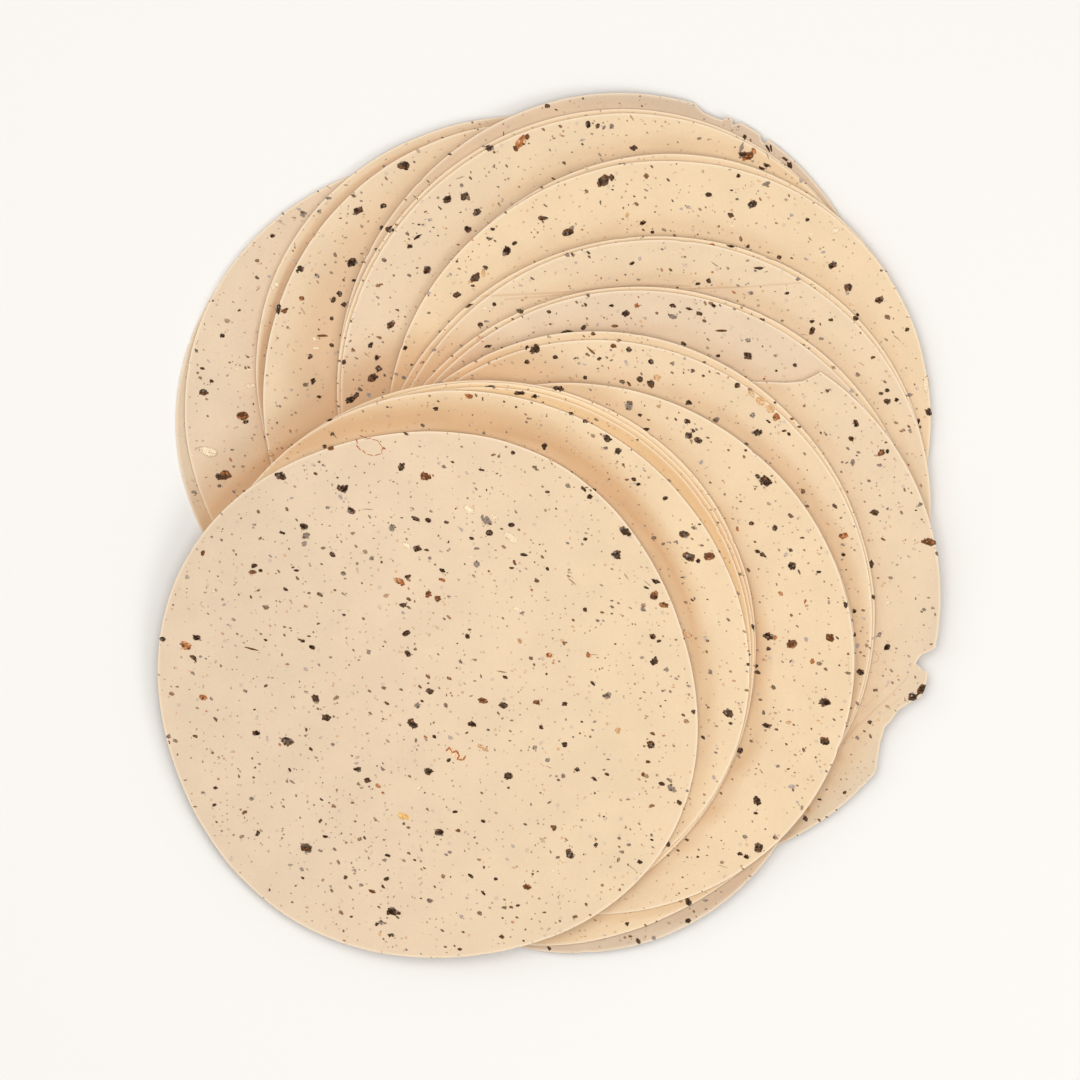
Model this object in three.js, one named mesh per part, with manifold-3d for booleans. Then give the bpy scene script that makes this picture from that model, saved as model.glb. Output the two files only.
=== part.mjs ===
// A stack of raw black pepper papadums, fanned out in a spiral.
// Each papadum is a thin round sheet of dried lentil dough with cracked peppercorns in it.
// Sizes are millimetres. The origin is on the table under the middle of the stack, and +Z is up.

import * as THREE from 'three';
import { mergeVertices } from 'three/addons/utils/BufferGeometryUtils.js';
import Module from 'manifold-3d';

const thickness = 0.55; // of one papadum
const pitch = 0.9; // from one papadum to the next where they lie on each other
const droop = 85; // how far past a papadum's edge the ones above it keep sinking
const facet = 25; // side of the squares in which every papadum's faces are split
const outlineSteps = 40; // straight edges round one papadum
const riseWidth = 30; // of the band along a rim that curls up
const riseFade = 40; // past the rim, until a curl is gone in the papadums above it
const riseFocus = 3; // the higher it is, the shorter the curled stretch of a rim
const doughColour = 0xe9cda6;
const doughRoughness = 0.85;

const cornHeight = 0.4; // of a peppercorn piece over the dough
const cornDepth = 0.3; // of the same piece inside the dough
const cornWidth = 0.72; // of a piece, as a share of its length

const sheetMargin = 4; // of the square sheets past the outline that is cut from them
const cutterBottom = -10; // of the prisms that cut the outlines
const cutterHeight = 80;
const mergeDistance = 1e-4; // within which corners of a shape are one

// The papadums, lowest first. Each has its middle (x, y) and its mean radius (r). Its outline is a
// little oval, three-cornered (lobe) or four-cornered (square), and its rim curls up on one side
// (rise). These four are given as [amount, direction in degrees].
const papadums = [
  { x: -31, y: 31.5, r: 86, oval: [1.5, -10], lobe: [1, 55], rise: [0, 0] },
  { x: -28.5, y: 34.5, r: 86, oval: [1.5, -15], lobe: [1, 45], rise: [0, 0] },
  { x: -6, y: 46, r: 86.5, oval: [1, -25], lobe: [1, 40], rise: [0.4, 160] },
  { x: -5, y: 41.5, r: 86.5, oval: [0.5, -40], lobe: [0.5, -25], rise: [1.5, 195] },
  { x: 19.5, y: 50.5, r: 87, oval: [1.5, 50], lobe: [0.5, -40], rise: [1.8, 165] },
  { x: 20.5, y: 46.5, r: 87, oval: [1.5, 25], lobe: [0.5, -40], rise: [0, 0] },
  { x: 21.5, y: 45, r: 87, oval: [1, 25], lobe: [0.5, -50], rise: [0, 0] },
  { x: 36, y: 31.5, r: 86.5, oval: [1, 50], lobe: [0.5, -45], rise: [2, 95] },
  { x: 35.5, y: 30.5, r: 86.5, oval: [1, 35], lobe: [0.5, 45], rise: [0.3, 95] },
  { x: 33, y: 7, r: 87, oval: [1.5, 10], lobe: [0.5, 40], rise: [1.8, 80] },
  { x: 34, y: 5, r: 87, oval: [1, 5], lobe: [0, 0], rise: [0.2, 80] },
  { x: 29.5, y: -9.5, r: 87.5, oval: [2.5, -10], lobe: [0.5, -40], rise: [1.8, 70] },
  { x: 30, y: -12, r: 87.5, oval: [1.5, -20], lobe: [0.5, -30], rise: [0.2, 70] },
  { x: 38.5, y: -23, r: 86.5, oval: [0, 0], lobe: [0, 0], rise: [0.8, 30] },
  { x: 16, y: -25, r: 87, oval: [1.5, -20], lobe: [1, -35], rise: [1.8, 50] },
  { x: 16.5, y: -28, r: 86.5, oval: [0.5, -55], lobe: [0.5, -15], rise: [0.3, 50] },
  { x: 3.5, y: -49, r: 86.5, oval: [1.5, -65], lobe: [1, 55], rise: [0, 0] },
  { x: 8, y: -47.5, r: 87, oval: [3, 35], lobe: [1.5, 5], rise: [0.3, -60] },
  { x: 10, y: -39.5, r: 86, oval: [2.5, -30], lobe: [0, 0], rise: [2, 20] },
  { x: -22, y: -39.5, r: 87.5, oval: [1.5, -20], lobe: [1, 45], rise: [1.5, 35] },
  { x: -21.5, y: -41.5, r: 87, oval: [0, 0], lobe: [0, 0], rise: [0, 0] },
  { x: -22, y: -42.5, r: 86.5, oval: [0, 0], lobe: [0, 0], rise: [0, 0] },
  { x: -25, y: -42.5, r: 86.5, oval: [2, -25], lobe: [1, 0], square: [0.5, -25], rise: [1, 45] },
  { x: -38.5, y: -54.5, r: 85.5, oval: [2.5, -35], lobe: [0.5, -50], square: [1.2, -30], rise: [2.6, 25] },
];

// What has broken off the rims: the papadum's number from the bottom, and the corners of the gap.
const brokenOff = [
  { from: 5, gap: [[44, 138], [47.5, 134], [49.5, 132], [54, 130], [57, 130.5], [60, 129.5], [58.5, 127.5],
    [61, 128.5], [63, 138]] },
  { from: 5, gap: [[67, 126], [68, 122.5], [69, 121.5], [70, 122.5], [72, 125]] },
  { from: 14, gap: [[-50, 70], [-50, 44], [63, 46], [76, 45.5], [81, 46], [86, 48.5], [92, 70]] },
  { from: 14, gap: [[124, -41], [120.5, -41.5], [117.5, -45], [121.5, -47], [120.5, -53], [115, -56.5],
    [109.5, -63.5], [106, -71], [104.5, -79], [108, -84], [130, -70]] },
];

// The largest peppercorn pieces that show: x, y, length and direction in degrees.
const peppercorns = [
  [-46.5, 115, 4.4, 5], [-61, 100.5, 3.8, 20], [-51, 94.5, 3.2, 0], [-27, 105, 3.6, 30],
  [-63, 84, 4, 25], [-39, 81.5, 3.4, 60], [-86.5, 69, 3, 80], [-50.5, 64, 3.2, 45],
  [-56.5, 47, 3.8, 30], [-63.5, 40, 3.4, 20], [-98, 35, 4.4, -10], [-110.5, 42.5, 3.2, 0],
  [-103.5, 16, 4.6, -15], [-9, 122.5, 5.6, 50], [12.5, 128, 2.8, 90], [17.5, 110, 4.8, 35],
  [27, 120.5, 2.8, 0], [63.5, 118, 4.4, 15], [65, 102.5, 3.6, 20], [6, 93.5, 4.2, 30],
  [-13.5, 87.5, 3.6, 70], [-23.5, 79, 3.8, 35], [90.5, 83, 3.2, 40], [105.5, 72, 3.2, 20],
  [84, 62, 3, 60], [24.5, 67.5, 3, 0], [-4.5, 56, 3.8, 40], [63.5, 54, 3.4, -15],
  [66.5, 29.5, 3.2, 10], [47.5, 27, 3.2, -25], [69, 14, 4.6, -20], [106, 23, 3, 45],
  [104, 4, 3, 0], [18.5, 27.5, 3.2, -30], [24, -2, 3.8, -30], [44.5, -10, 4.2, -15],
  [70, -35.5, 3.6, -10], [77.5, -38, 4.2, 10], [88, -56.5, 4, 0], [88, -69, 3.8, -25],
  [108, -39, 2.8, 30], [66.5, -88, 3.4, -40], [57, -60, 3.8, -20], [33.5, -43.5, 3.2, 60],
  [-85.5, 15.5, 3.8, -20], [-39.5, 15.5, 3.8, -25], [-65.5, 11.5, 3.6, 10], [-63, 4.5, 3.2, -30],
  [-42, -7.5, 3, -15], [-19, -2.5, 3, 0], [-45.5, -34.5, 3, 20], [-14.5, -57.5, 3.2, -10],
  [-74.5, -55.5, 3.4, -50], [-71, -61.5, 3.2, -10], [-83.5, -69, 4.4, -10], [-93.5, -66.5, 2.8, 0],
  [-43.5, -63.5, 3.8, -25], [-24.5, -63.5, 2.8, -20], [-38.5, -78.5, 3.2, 0], [-30, -73, 6.4, -35],
  [-13, -80, 3.4, -20], [-35, -98, 3.4, -15], [-77.5, -103, 4.2, -20], [-50, -123.5, 4, -20],
  [6.5, -105, 3.8, -60],
];

const wasm = await Module();
wasm.setup();

// what an unevenness with a number of corners adds to the radius in one direction
function unevenness([amount, at], corners, angle) {
  return amount * Math.cos(corners * (angle - THREE.MathUtils.degToRad(at)));
}

// radius of a papadum's outline in one direction
function outlineRadius({ r, oval, lobe, square = [0, 0] }, angle) {
  return r + unevenness(oval, 2, angle) + unevenness(lobe, 3, angle) + unevenness(square, 4, angle);
}

// distance of a point from a papadum's outline, positive outside it
function edgeDistance(papadum, x, y) {
  const angle = Math.atan2(y - papadum.y, x - papadum.x);
  return Math.hypot(x - papadum.x, y - papadum.y) - outlineRadius(papadum, angle);
}

// 1 up to the start, then a smooth fall to 0 over the given length
function smoothFall(distance, length) {
  const share = THREE.MathUtils.clamp(distance / length, 0, 1);
  return 0.5 + 0.5 * Math.cos(Math.PI * share);
}

// how much a papadum lifts the one above it at a point: in full over itself, less past its edge
function stackStep(papadum, x, y) {
  return pitch * smoothFall(edgeDistance(papadum, x, y), droop);
}

// how much a papadum's own rim curls up at a point
function rimRise(papadum, x, y) {
  const [amount, at] = papadum.rise;
  const angle = Math.atan2(y - papadum.y, x - papadum.x);
  const facing = (0.5 + 0.5 * Math.cos(angle - THREE.MathUtils.degToRad(at))) ** riseFocus;
  const distance = edgeDistance(papadum, x, y);
  const band = smoothFall(-distance, riseWidth) * smoothFall(distance, riseFade);
  return amount * facing * band;
}

// height of the underside of a papadum at a corner of the facets
function cornerHeight(level, x, y) {
  let height = 0;
  for (let below = 0; below < level; below += 1) {
    height += stackStep(papadums[below], x, y) + rimRise(papadums[below], x, y);
  }
  return height + rimRise(papadums[level], x, y);
}

// whether the square of a facet is halved upwards to the right, as every second one is
function halvedUpwards(column, row) {
  return (column + row) % 2 === 0;
}

// height of the underside anywhere, on the flat facet between three corners
function undersideHeight(level, x, y) {
  const column = Math.floor(x / facet);
  const row = Math.floor(y / facet);
  const u = x / facet - column;
  const v = y / facet - row;
  const corner = (i, j) => cornerHeight(level, (column + i) * facet, (row + j) * facet);
  const [low, right, left, high] = [corner(0, 0), corner(1, 0), corner(0, 1), corner(1, 1)];
  if (halvedUpwards(column, row)) {
    return u > v
      ? low + u * (right - low) + v * (high - right)
      : low + v * (left - low) + u * (high - left);
  }
  return u + v < 1
    ? low + u * (right - low) + v * (left - low)
    : high + (1 - u) * (left - high) + (1 - v) * (right - high);
}

function solidFrom(positions, triangles) {
  return new wasm.Manifold(new wasm.Mesh({
    numProp: 3,
    vertProperties: new Float32Array(positions),
    triVerts: new Uint32Array(triangles),
  }));
}

function solidFromGeometry(geometry) {
  geometry.deleteAttribute('normal');
  geometry.deleteAttribute('uv');
  const merged = mergeVertices(geometry, mergeDistance);
  return solidFrom(merged.attributes.position.array, merged.index.array);
}

function geometryFromSolid(solid) {
  const mesh = solid.getMesh();
  const geometry = new THREE.BufferGeometry();
  geometry.setAttribute('position', new THREE.BufferAttribute(mesh.vertProperties, 3));
  geometry.setIndex(new THREE.BufferAttribute(mesh.triVerts, 1));
  geometry.computeVertexNormals();
  return geometry;
}

// a square sheet wider than the papadum, bent to its heights, with both faces split alike
function bentSheet(level) {
  const { x, y, r } = papadums[level];
  const reach = r + sheetMargin;
  const firstColumn = Math.floor((x - reach) / facet);
  const firstRow = Math.floor((y - reach) / facet);
  const columns = Math.ceil((x + reach) / facet) - firstColumn;
  const rows = Math.ceil((y + reach) / facet) - firstRow;
  const count = (columns + 1) * (rows + 1);
  const positions = [];
  for (const lift of [0, thickness]) {
    for (let row = 0; row <= rows; row += 1) {
      for (let column = 0; column <= columns; column += 1) {
        const cornerX = (firstColumn + column) * facet;
        const cornerY = (firstRow + row) * facet;
        positions.push(cornerX, cornerY, cornerHeight(level, cornerX, cornerY) + lift);
      }
    }
  }

  const at = (column, row) => row * (columns + 1) + column;
  const triangles = [];
  for (let row = 0; row < rows; row += 1) {
    for (let column = 0; column < columns; column += 1) {
      const [a, b] = [at(column, row), at(column + 1, row)];
      const [c, d] = [at(column + 1, row + 1), at(column, row + 1)];
      const halves = halvedUpwards(firstColumn + column, firstRow + row)
        ? [[a, b, c], [a, c, d]]
        : [[a, b, d], [b, c, d]];
      for (const [p, q, s] of halves) {
        triangles.push(p + count, q + count, s + count, p, s, q);
      }
    }
  }
  const wall = (p, q) => triangles.push(p, q, q + count, p, q + count, p + count);
  for (let column = 0; column < columns; column += 1) {
    wall(at(column, 0), at(column + 1, 0));
    wall(at(column + 1, rows), at(column, rows));
  }
  for (let row = 0; row < rows; row += 1) {
    wall(at(columns, row), at(columns, row + 1));
    wall(at(0, row + 1), at(0, row));
  }
  return solidFrom(positions, triangles);
}

// an upright prism over a flat outline, taller than the stack
function prism(corners) {
  const shape = new THREE.Shape(corners.map(([x, y]) => new THREE.Vector2(x, y)));
  const geometry = new THREE.ExtrudeGeometry(shape, { depth: cutterHeight, bevelEnabled: false });
  geometry.translate(0, 0, cutterBottom);
  return solidFromGeometry(geometry);
}

function outlineCorners(papadum) {
  const corners = [];
  for (let step = 0; step < outlineSteps; step += 1) {
    const angle = (step / outlineSteps) * 2 * Math.PI;
    const radius = outlineRadius(papadum, angle);
    corners.push([papadum.x + radius * Math.cos(angle), papadum.y + radius * Math.sin(angle)]);
  }
  return corners;
}

// a low lump of cracked pepper, bedded in the top face of a papadum
function peppercorn(level, [x, y, length, direction]) {
  const lump = new THREE.IcosahedronGeometry(1, 0);
  lump.scale(length / 2, (length / 2) * cornWidth, 1);
  lump.rotateZ(THREE.MathUtils.degToRad(direction));
  lump.translate(x, y, 0);
  const place = lump.attributes.position;
  for (let i = 0; i < place.count; i += 1) {
    const face = undersideHeight(level, place.getX(i), place.getY(i)) + thickness;
    const z = place.getZ(i);
    place.setZ(i, face + z * (z > 0 ? cornHeight : cornDepth));
  }
  return solidFromGeometry(lump);
}

// whether a point lies inside a closed run of corners, by counting the sides to its right
function isInside(corners, x, y) {
  const crossed = corners.filter(([ax, ay], i) => {
    const [bx, by] = corners[(i + 1) % corners.length];
    return (ay > y) !== (by > y) && x < ax + ((y - ay) / (by - ay)) * (bx - ax);
  });
  return crossed.length % 2 === 1;
}

function gapsOf(level) {
  return brokenOff.filter((piece) => piece.from === level + 1).map((piece) => piece.gap);
}

// number of the uppermost papadum at a point, counted from 0, or -1 beside the stack
function topLevelAt(x, y) {
  return papadums.findLastIndex((papadum, level) => {
    const isOverDough = edgeDistance(papadum, x, y) < 0;
    return isOverDough && !gapsOf(level).some((gap) => isInside(gap, x, y));
  });
}

function papadumSolid(level) {
  let solid = bentSheet(level).intersect(prism(outlineCorners(papadums[level])));
  for (const gap of gapsOf(level)) {
    solid = solid.subtract(prism(gap));
  }
  for (const corn of peppercorns.filter(([x, y]) => topLevelAt(x, y) === level)) {
    solid = solid.add(peppercorn(level, corn));
  }
  return solid;
}

const stack = new THREE.Group();
papadums.forEach((papadum, level) => {
  const dough = new THREE.MeshStandardMaterial({ color: doughColour, roughness: doughRoughness });
  const mesh = new THREE.Mesh(geometryFromSolid(papadumSolid(level)), dough);
  mesh.name = `papadum_${String(level + 1).padStart(2, '0')}`;
  stack.add(mesh);
});

export default stack;
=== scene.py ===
# A stack of raw black pepper papadums, fanned out in a spiral and seen from straight above.
# Shapes are worked out in millimetres and go into the meshes in metres.
import math

import bpy
import numpy as np
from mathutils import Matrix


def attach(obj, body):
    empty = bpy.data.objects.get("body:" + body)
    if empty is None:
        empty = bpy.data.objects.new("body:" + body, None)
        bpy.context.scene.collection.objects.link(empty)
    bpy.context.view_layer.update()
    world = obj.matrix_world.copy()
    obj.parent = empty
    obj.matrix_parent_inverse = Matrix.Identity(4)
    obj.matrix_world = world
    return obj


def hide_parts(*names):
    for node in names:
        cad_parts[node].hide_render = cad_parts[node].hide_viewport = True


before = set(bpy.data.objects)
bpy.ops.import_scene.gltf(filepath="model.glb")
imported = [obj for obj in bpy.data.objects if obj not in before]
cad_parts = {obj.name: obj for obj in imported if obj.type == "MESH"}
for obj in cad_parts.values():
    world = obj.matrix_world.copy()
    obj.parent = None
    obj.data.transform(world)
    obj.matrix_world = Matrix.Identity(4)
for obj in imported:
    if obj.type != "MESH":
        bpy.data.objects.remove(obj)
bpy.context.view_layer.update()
print("frame loaded,", len(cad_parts), "papadums")

mm = 0.001

stack = {
    "thickness": 0.55,
    "pitch": 0.9,  # from one papadum to the next where they lie on each other
    "droop": 85,  # how far past a papadum's edge the ones above it keep sinking
    "riseWidth": 30,  # of the band along a rim that curls up
    "riseFade": 40,  # past the rim, until a curl is gone in the papadums above it
    "riseFocus": 3,  # the higher it is, the shorter the curled stretch of a rim
}

# The papadums, lowest first: middle (x, y), mean radius, and [amount, direction in degrees] of how
# oval, three-cornered (lobe) and four-cornered (square) the outline is and where its rim curls up
# (rise). The tone goes from 0, the warmest dough, to 1, the palest and greyest, and its drift is how
# much it changes per millimetre to the right.
papadums = [
    {"x": -31, "y": 31.5, "r": 86, "oval": [1.5, -10], "lobe": [1, 55], "rise": [0, 0], "tone": 0.85},
    {"x": -28.5, "y": 34.5, "r": 86, "oval": [1.5, -15], "lobe": [1, 45], "rise": [0, 0], "tone": 1.1},
    {"x": -6, "y": 46, "r": 86.5, "oval": [1, -25], "lobe": [1, 40], "rise": [0.4, 160], "tone": 0.75},
    {"x": -5, "y": 41.5, "r": 86.5, "oval": [0.5, -40], "lobe": [0.5, -25], "rise": [1.5, 195],
     "tone": 0.8},
    {"x": 19.5, "y": 50.5, "r": 87, "oval": [1.5, 50], "lobe": [0.5, -40], "rise": [1.8, 165], "tone": 1},
    {"x": 20.5, "y": 46.5, "r": 87, "oval": [1.5, 25], "lobe": [0.5, -40], "rise": [0, 0], "tone": 0.55},
    {"x": 21.5, "y": 45, "r": 87, "oval": [1, 25], "lobe": [0.5, -50], "rise": [0, 0], "tone": 0.6,
     "drift": -0.004},
    {"x": 36, "y": 31.5, "r": 86.5, "oval": [1, 50], "lobe": [0.5, -45], "rise": [2, 95], "tone": 0.5},
    {"x": 35.5, "y": 30.5, "r": 86.5, "oval": [1, 35], "lobe": [0.5, 45], "rise": [0.3, 95], "tone": 0.55},
    {"x": 33, "y": 7, "r": 87, "oval": [1.5, 10], "lobe": [0.5, 40], "rise": [1.8, 80], "tone": 0.5},
    {"x": 34, "y": 5, "r": 87, "oval": [1, 5], "lobe": [0, 0], "rise": [0.2, 80], "tone": 0.75},
    {"x": 29.5, "y": -9.5, "r": 87.5, "oval": [2.5, -10], "lobe": [0.5, -40], "rise": [1.8, 70],
     "tone": 0.5},
    {"x": 30, "y": -12, "r": 87.5, "oval": [1.5, -20], "lobe": [0.5, -30], "rise": [0.2, 70], "tone": 0.95},
    {"x": 38.5, "y": -23, "r": 86.5, "oval": [0, 0], "lobe": [0, 0], "rise": [0.8, 30], "tone": 0.6,
     "drift": 0.003},
    {"x": 16, "y": -25, "r": 87, "oval": [1.5, -20], "lobe": [1, -35], "rise": [1.8, 50], "tone": 0.5},
    {"x": 16.5, "y": -28, "r": 86.5, "oval": [0.5, -55], "lobe": [0.5, -15], "rise": [0.3, 50],
     "tone": 0.62},
    {"x": 3.5, "y": -49, "r": 86.5, "oval": [1.5, -65], "lobe": [1, 55], "rise": [0, 0], "tone": 1},
    {"x": 8, "y": -47.5, "r": 87, "oval": [3, 35], "lobe": [1.5, 5], "rise": [0.3, -60], "tone": 0.5},
    {"x": 10, "y": -39.5, "r": 86, "oval": [2.5, -30], "lobe": [0, 0], "rise": [2, 20], "tone": 0.55},
    {"x": -22, "y": -39.5, "r": 87.5, "oval": [1.5, -20], "lobe": [1, 45], "rise": [1.5, 35], "tone": 0.3},
    {"x": -21.5, "y": -41.5, "r": 87, "oval": [0, 0], "lobe": [0, 0], "rise": [0, 0], "tone": 0.1},
    {"x": -22, "y": -42.5, "r": 86.5, "oval": [0, 0], "lobe": [0, 0], "rise": [0, 0], "tone": 0.05},
    {"x": -25, "y": -42.5, "r": 86.5, "oval": [2, -25], "lobe": [1, 0], "square": [0.5, -25],
     "rise": [1, 45], "tone": 0.5},
    {"x": -38.5, "y": -54.5, "r": 85.5, "oval": [2.5, -35], "lobe": [0.5, -50], "square": [1.2, -30],
     "rise": [2.6, 25], "tone": 0.87, "drift": -0.003},
]

# where pieces have broken off the rims: the papadum's number from the bottom and the broken edge
breaks = [
    {"papadum": 5, "edge": [[44, 138], [47.5, 134], [49.2, 132.2], [53.4, 130.2], [55.4, 129.6],
                            [57, 130.6], [59.8, 129.4], [58.6, 128], [60.8, 128.7], [63, 133]]},
    {"papadum": 5, "edge": [[67.6, 125.5], [67.9, 123.2], [68.8, 122.1], [69.4, 122.7], [71, 124.5]]},
    {"papadum": 14, "edge": [[-50, 44], [63, 46], [76, 45.5], [81, 46], [86, 48.5], [92, 70]]},
    {"papadum": 14, "edge": [[130, -37], [123.5, -39.4], [121.3, -40.6], [119, -41.6], [117.8, -43.2],
                             [117.1, -44.5], [118.7, -45.1], [119, -46.4], [121.3, -46.7], [120.4, -52.6],
                             [119.2, -54.8], [116.2, -56.3], [113.9, -57.8], [111.6, -59.4], [110, -61.9],
                             [107.4, -64.8], [106, -69.4], [105.3, -73.6], [104.7, -78.7], [108, -90]]},
]

rim = {
    "steps": 2400,  # directions in which an outline is worked out
    "sectors": 600,  # round a whole papadum's mesh
    "brokenSectors": 1500,  # round one with broken edges
    "uneven": 0.07,  # of the fine waves of the outline
    "waves": [5, 30],
    "nicks": 4,  # small dents in each rim
    "nickDepth": [0.1, 0.35],
    "nickWidth": [0.5, 1.4],
    "breakStep": 0.05,
    "breakRough": 0.12,
    "bevel": 0.2,
    "highlightWidth": 0.5,  # of the painted highlight, a paler line along the top of a rim
    "highlightTop": 0.6,
    "paleSide": 0.9,
}

# The profile of a papadum from the middle of its top face, over the rim, to the middle of its
# underside: the distance from the rim, and the height as a share of the thickness.
topInsets = [75, 66, 57, 49, 42, 36, 30, 25, 20, 16, 12, 9, 6.5, 4.5, 3, 1.8, 1, 0.5, rim["bevel"]]
undersideInsets = [rim["bevel"], 1.5, 5, 12, 20, 30, 42, 56, 71]
sideProfile = [[0.06, 0.93], [0, 0.7], [0, 0.3], [0.06, 0.07]]

ripples = {
    "seed": 300,
    "own": 0.05,  # height of one papadum's own gentle waves
    "length": [34, 70],
    "count": 3,
    "frill": 0.05,  # height of the waves along its rim
    "frillWaves": [7, 16],
    "frillWidth": 14,
}


# half a cosine wave down from 1 to 0 over the length
def smoothFall(distance, length):
    return 0.5 + 0.5 * np.cos(np.pi * np.clip(distance / length, 0, 1))


# mean radius plus waves with two, three and four crests round the outline
def outlineRadius(disc, angle):
    radius = np.full_like(angle, disc["r"])
    for crests, form in enumerate(["oval", "lobe", "square"], start=2):
        amount, at = disc.get(form, [0, 0])
        radius += amount * np.cos(crests * (angle - math.radians(at)))
    return radius


# direction and distance of points from the middle of a papadum
def fromMiddle(disc, x, y):
    return np.arctan2(y - disc["y"], x - disc["x"]), np.hypot(x - disc["x"], y - disc["y"])


# distance of points from a papadum's plain outline, positive outside it
def edgeDistance(disc, x, y):
    angle, reach = fromMiddle(disc, x, y)
    return reach - outlineRadius(disc, angle)


# how high a papadum's outline curls up in each direction
def outlineRise(disc, angle):
    amount, at = disc["rise"]
    return amount * (0.5 + 0.5 * np.cos(angle - math.radians(at))) ** stack["riseFocus"]


# the curl of a papadum's rim, with soft slopes on both sides of its outline
def rimRise(disc, x, y):
    angle, reach = fromMiddle(disc, x, y)
    outside = reach - outlineRadius(disc, angle)
    sides = smoothFall(-outside, stack["riseWidth"]) * smoothFall(outside, stack["riseFade"])
    return outlineRise(disc, angle) * sides


# plane waves over the whole papadum, and waves along its rim that fade inwards
def ownRipples(level, x, y):
    if level == 0:
        return np.zeros_like(x)
    rng = np.random.default_rng(ripples["seed"] + level)
    height = np.zeros_like(x)
    for _ in range(ripples["count"]):
        turn, shift = rng.uniform(0, 2 * np.pi, 2)
        length = rng.uniform(*ripples["length"])
        height += np.sin(2 * np.pi / length * (x * math.cos(turn) + y * math.sin(turn)) + shift)
    height *= ripples["own"] / ripples["count"]
    angle, reach = fromMiddle(papadums[level], x, y)
    inset = outlineRadius(papadums[level], angle) - reach
    waves, shift = rng.integers(*ripples["frillWaves"]), rng.uniform(0, 2 * np.pi)
    frill = ripples["frill"] * np.sin(waves * angle + shift)
    return height + frill * smoothFall(inset, ripples["frillWidth"])


# height of a papadum's underside: the pitch and the curl of each one below it, and its own curl
def undersideHeight(level, x, y):
    height = rimRise(papadums[level], x, y) + ownRipples(level, x, y)
    for below in papadums[:level]:
        height += stack["pitch"] * smoothFall(edgeDistance(below, x, y), stack["droop"])
        height += rimRise(below, x, y)
    return height


def topHeight(level, x, y):
    return undersideHeight(level, x, y) + stack["thickness"]


rimAngles = np.arange(rim["steps"]) * 2 * np.pi / rim["steps"]


# the outline with fine waves, a few nicks and, where a piece is gone, the broken edge
def roughOutline(level):
    disc = papadums[level]
    rng = np.random.default_rng(level)
    radius = outlineRadius(disc, rimAngles)
    for waves in range(*rim["waves"]):
        size, shift = rng.normal() * rim["uneven"] / waves ** 0.7, rng.uniform(0, 2 * np.pi)
        radius += size * np.cos(waves * rimAngles + shift)
    for _ in range(rim["nicks"]):
        at = rng.uniform(0, 2 * np.pi)
        depth, width = rng.uniform(*rim["nickDepth"]), rng.uniform(*rim["nickWidth"])
        along = disc["r"] * (np.mod(rimAngles - at + np.pi, 2 * np.pi) - np.pi)
        radius -= depth * np.exp(-(along / width) ** 2)
    roughness = rim["breakRough"] * rng.uniform(0, 1, rim["steps"])
    for gap in breaks:
        if gap["papadum"] != level + 1:
            continue
        for start, end in zip(np.array(gap["edge"])[:-1], np.array(gap["edge"])[1:]):
            share = np.arange(0, 1, rim["breakStep"] / np.hypot(*(end - start)))[:, None]
            angle, reach = fromMiddle(disc, *(start + (end - start) * share).T)
            step = np.round(angle / (2 * np.pi) * rim["steps"]).astype(int) % rim["steps"]
            np.minimum.at(radius, step, reach - roughness[step])
    return radius


outlines = [roughOutline(level) for level in range(len(papadums))]


# radius of the rough outline in any direction
def rimRadius(level, angle):
    return np.interp(np.mod(angle, 2 * np.pi), rimAngles, outlines[level], period=2 * np.pi)


# number of the uppermost papadum over each point, counted from 0, or -1 beside the stack
def topLevelAt(x, y):
    top = np.full(x.shape, -1)
    for level, disc in enumerate(papadums):
        angle, reach = fromMiddle(disc, x, y)
        top[reach < rimRadius(level, angle)] = level
    return top


# strengths and widths of the shade and light painted into the dough's colour
shading = {
    "near": 0.09,  # greatest strength right at a rim that lies above
    "nearWidth": 11,
    "nearAt": 110,  # direction, in degrees, in which rims have the greatest strength
    "nearLeast": 0.2,
    "curl": 0.09,  # strength under a rim that curls up by 1 mm
    "curlWidth": 4.2,  # of that shade for each millimetre of curl
    "curlFlat": 0.35,  # share of the width with full strength
    "curlStart": 0.3,  # share of the strength right at the rim, where the rim's own shadow adds to it
    "startLength": 2.2,
    "step": 0.055,  # strength at the foot of a high step to the rims above
    "stepLength": 8,
    "low": 1.5,  # height of the rims above from which a step counts as high
    "high": 4.5,
    "paintedValleyLightLength": 6,
    "left": [-0.95, 0.3],  # direction, towards the left, in which the painted light in the valleys grows
    "leftReach": 75,
    "thinLevels": 18,  # number of low papadums with a painted shade, darker and greyer, where nothing lies under them
    "thinLength": 12,
}

# where rims throw a wider painted shade: papadum number, strength, width, direction in degrees and how
# much the shade keeps to that direction
wideShades = [
    [24, 0.43, 16, 72, 2.3], [24, 0.2, 22, 142, 4], [24, 0.2, 7, 272, 6], [23, 0.44, 9, 12, 2],
    [20, 0.4, 24, 103, 7], [19, 0.16, 9, 60, 2], [19, 0.35, 3.5, 285, 1.5], [18, 0.16, 7, 250, 1.5],
    [18, 0.3, 6, 303, 30], [16, 0.16, 10, 325, 6], [6, 0.28, 23, 177, 5], [6, 0.2, 6, 95, 3],
    [4, 0.65, 3, 170, 1.5],
]


# share of the painted shade of a bare sheet: 1 far outside every lower papadum, where a sheet has
# nothing under it, falling to 0 over the last stretch before the nearest lower outline
def thinShare(level, x, y):
    outside = np.full(x.shape, np.inf if level < shading["thinLevels"] else 0.0)
    for below in range(level):
        outside = np.minimum(outside, edgeDistance(papadums[below], x, y))
    return 1 - smoothFall(outside, shading["thinLength"])
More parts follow.
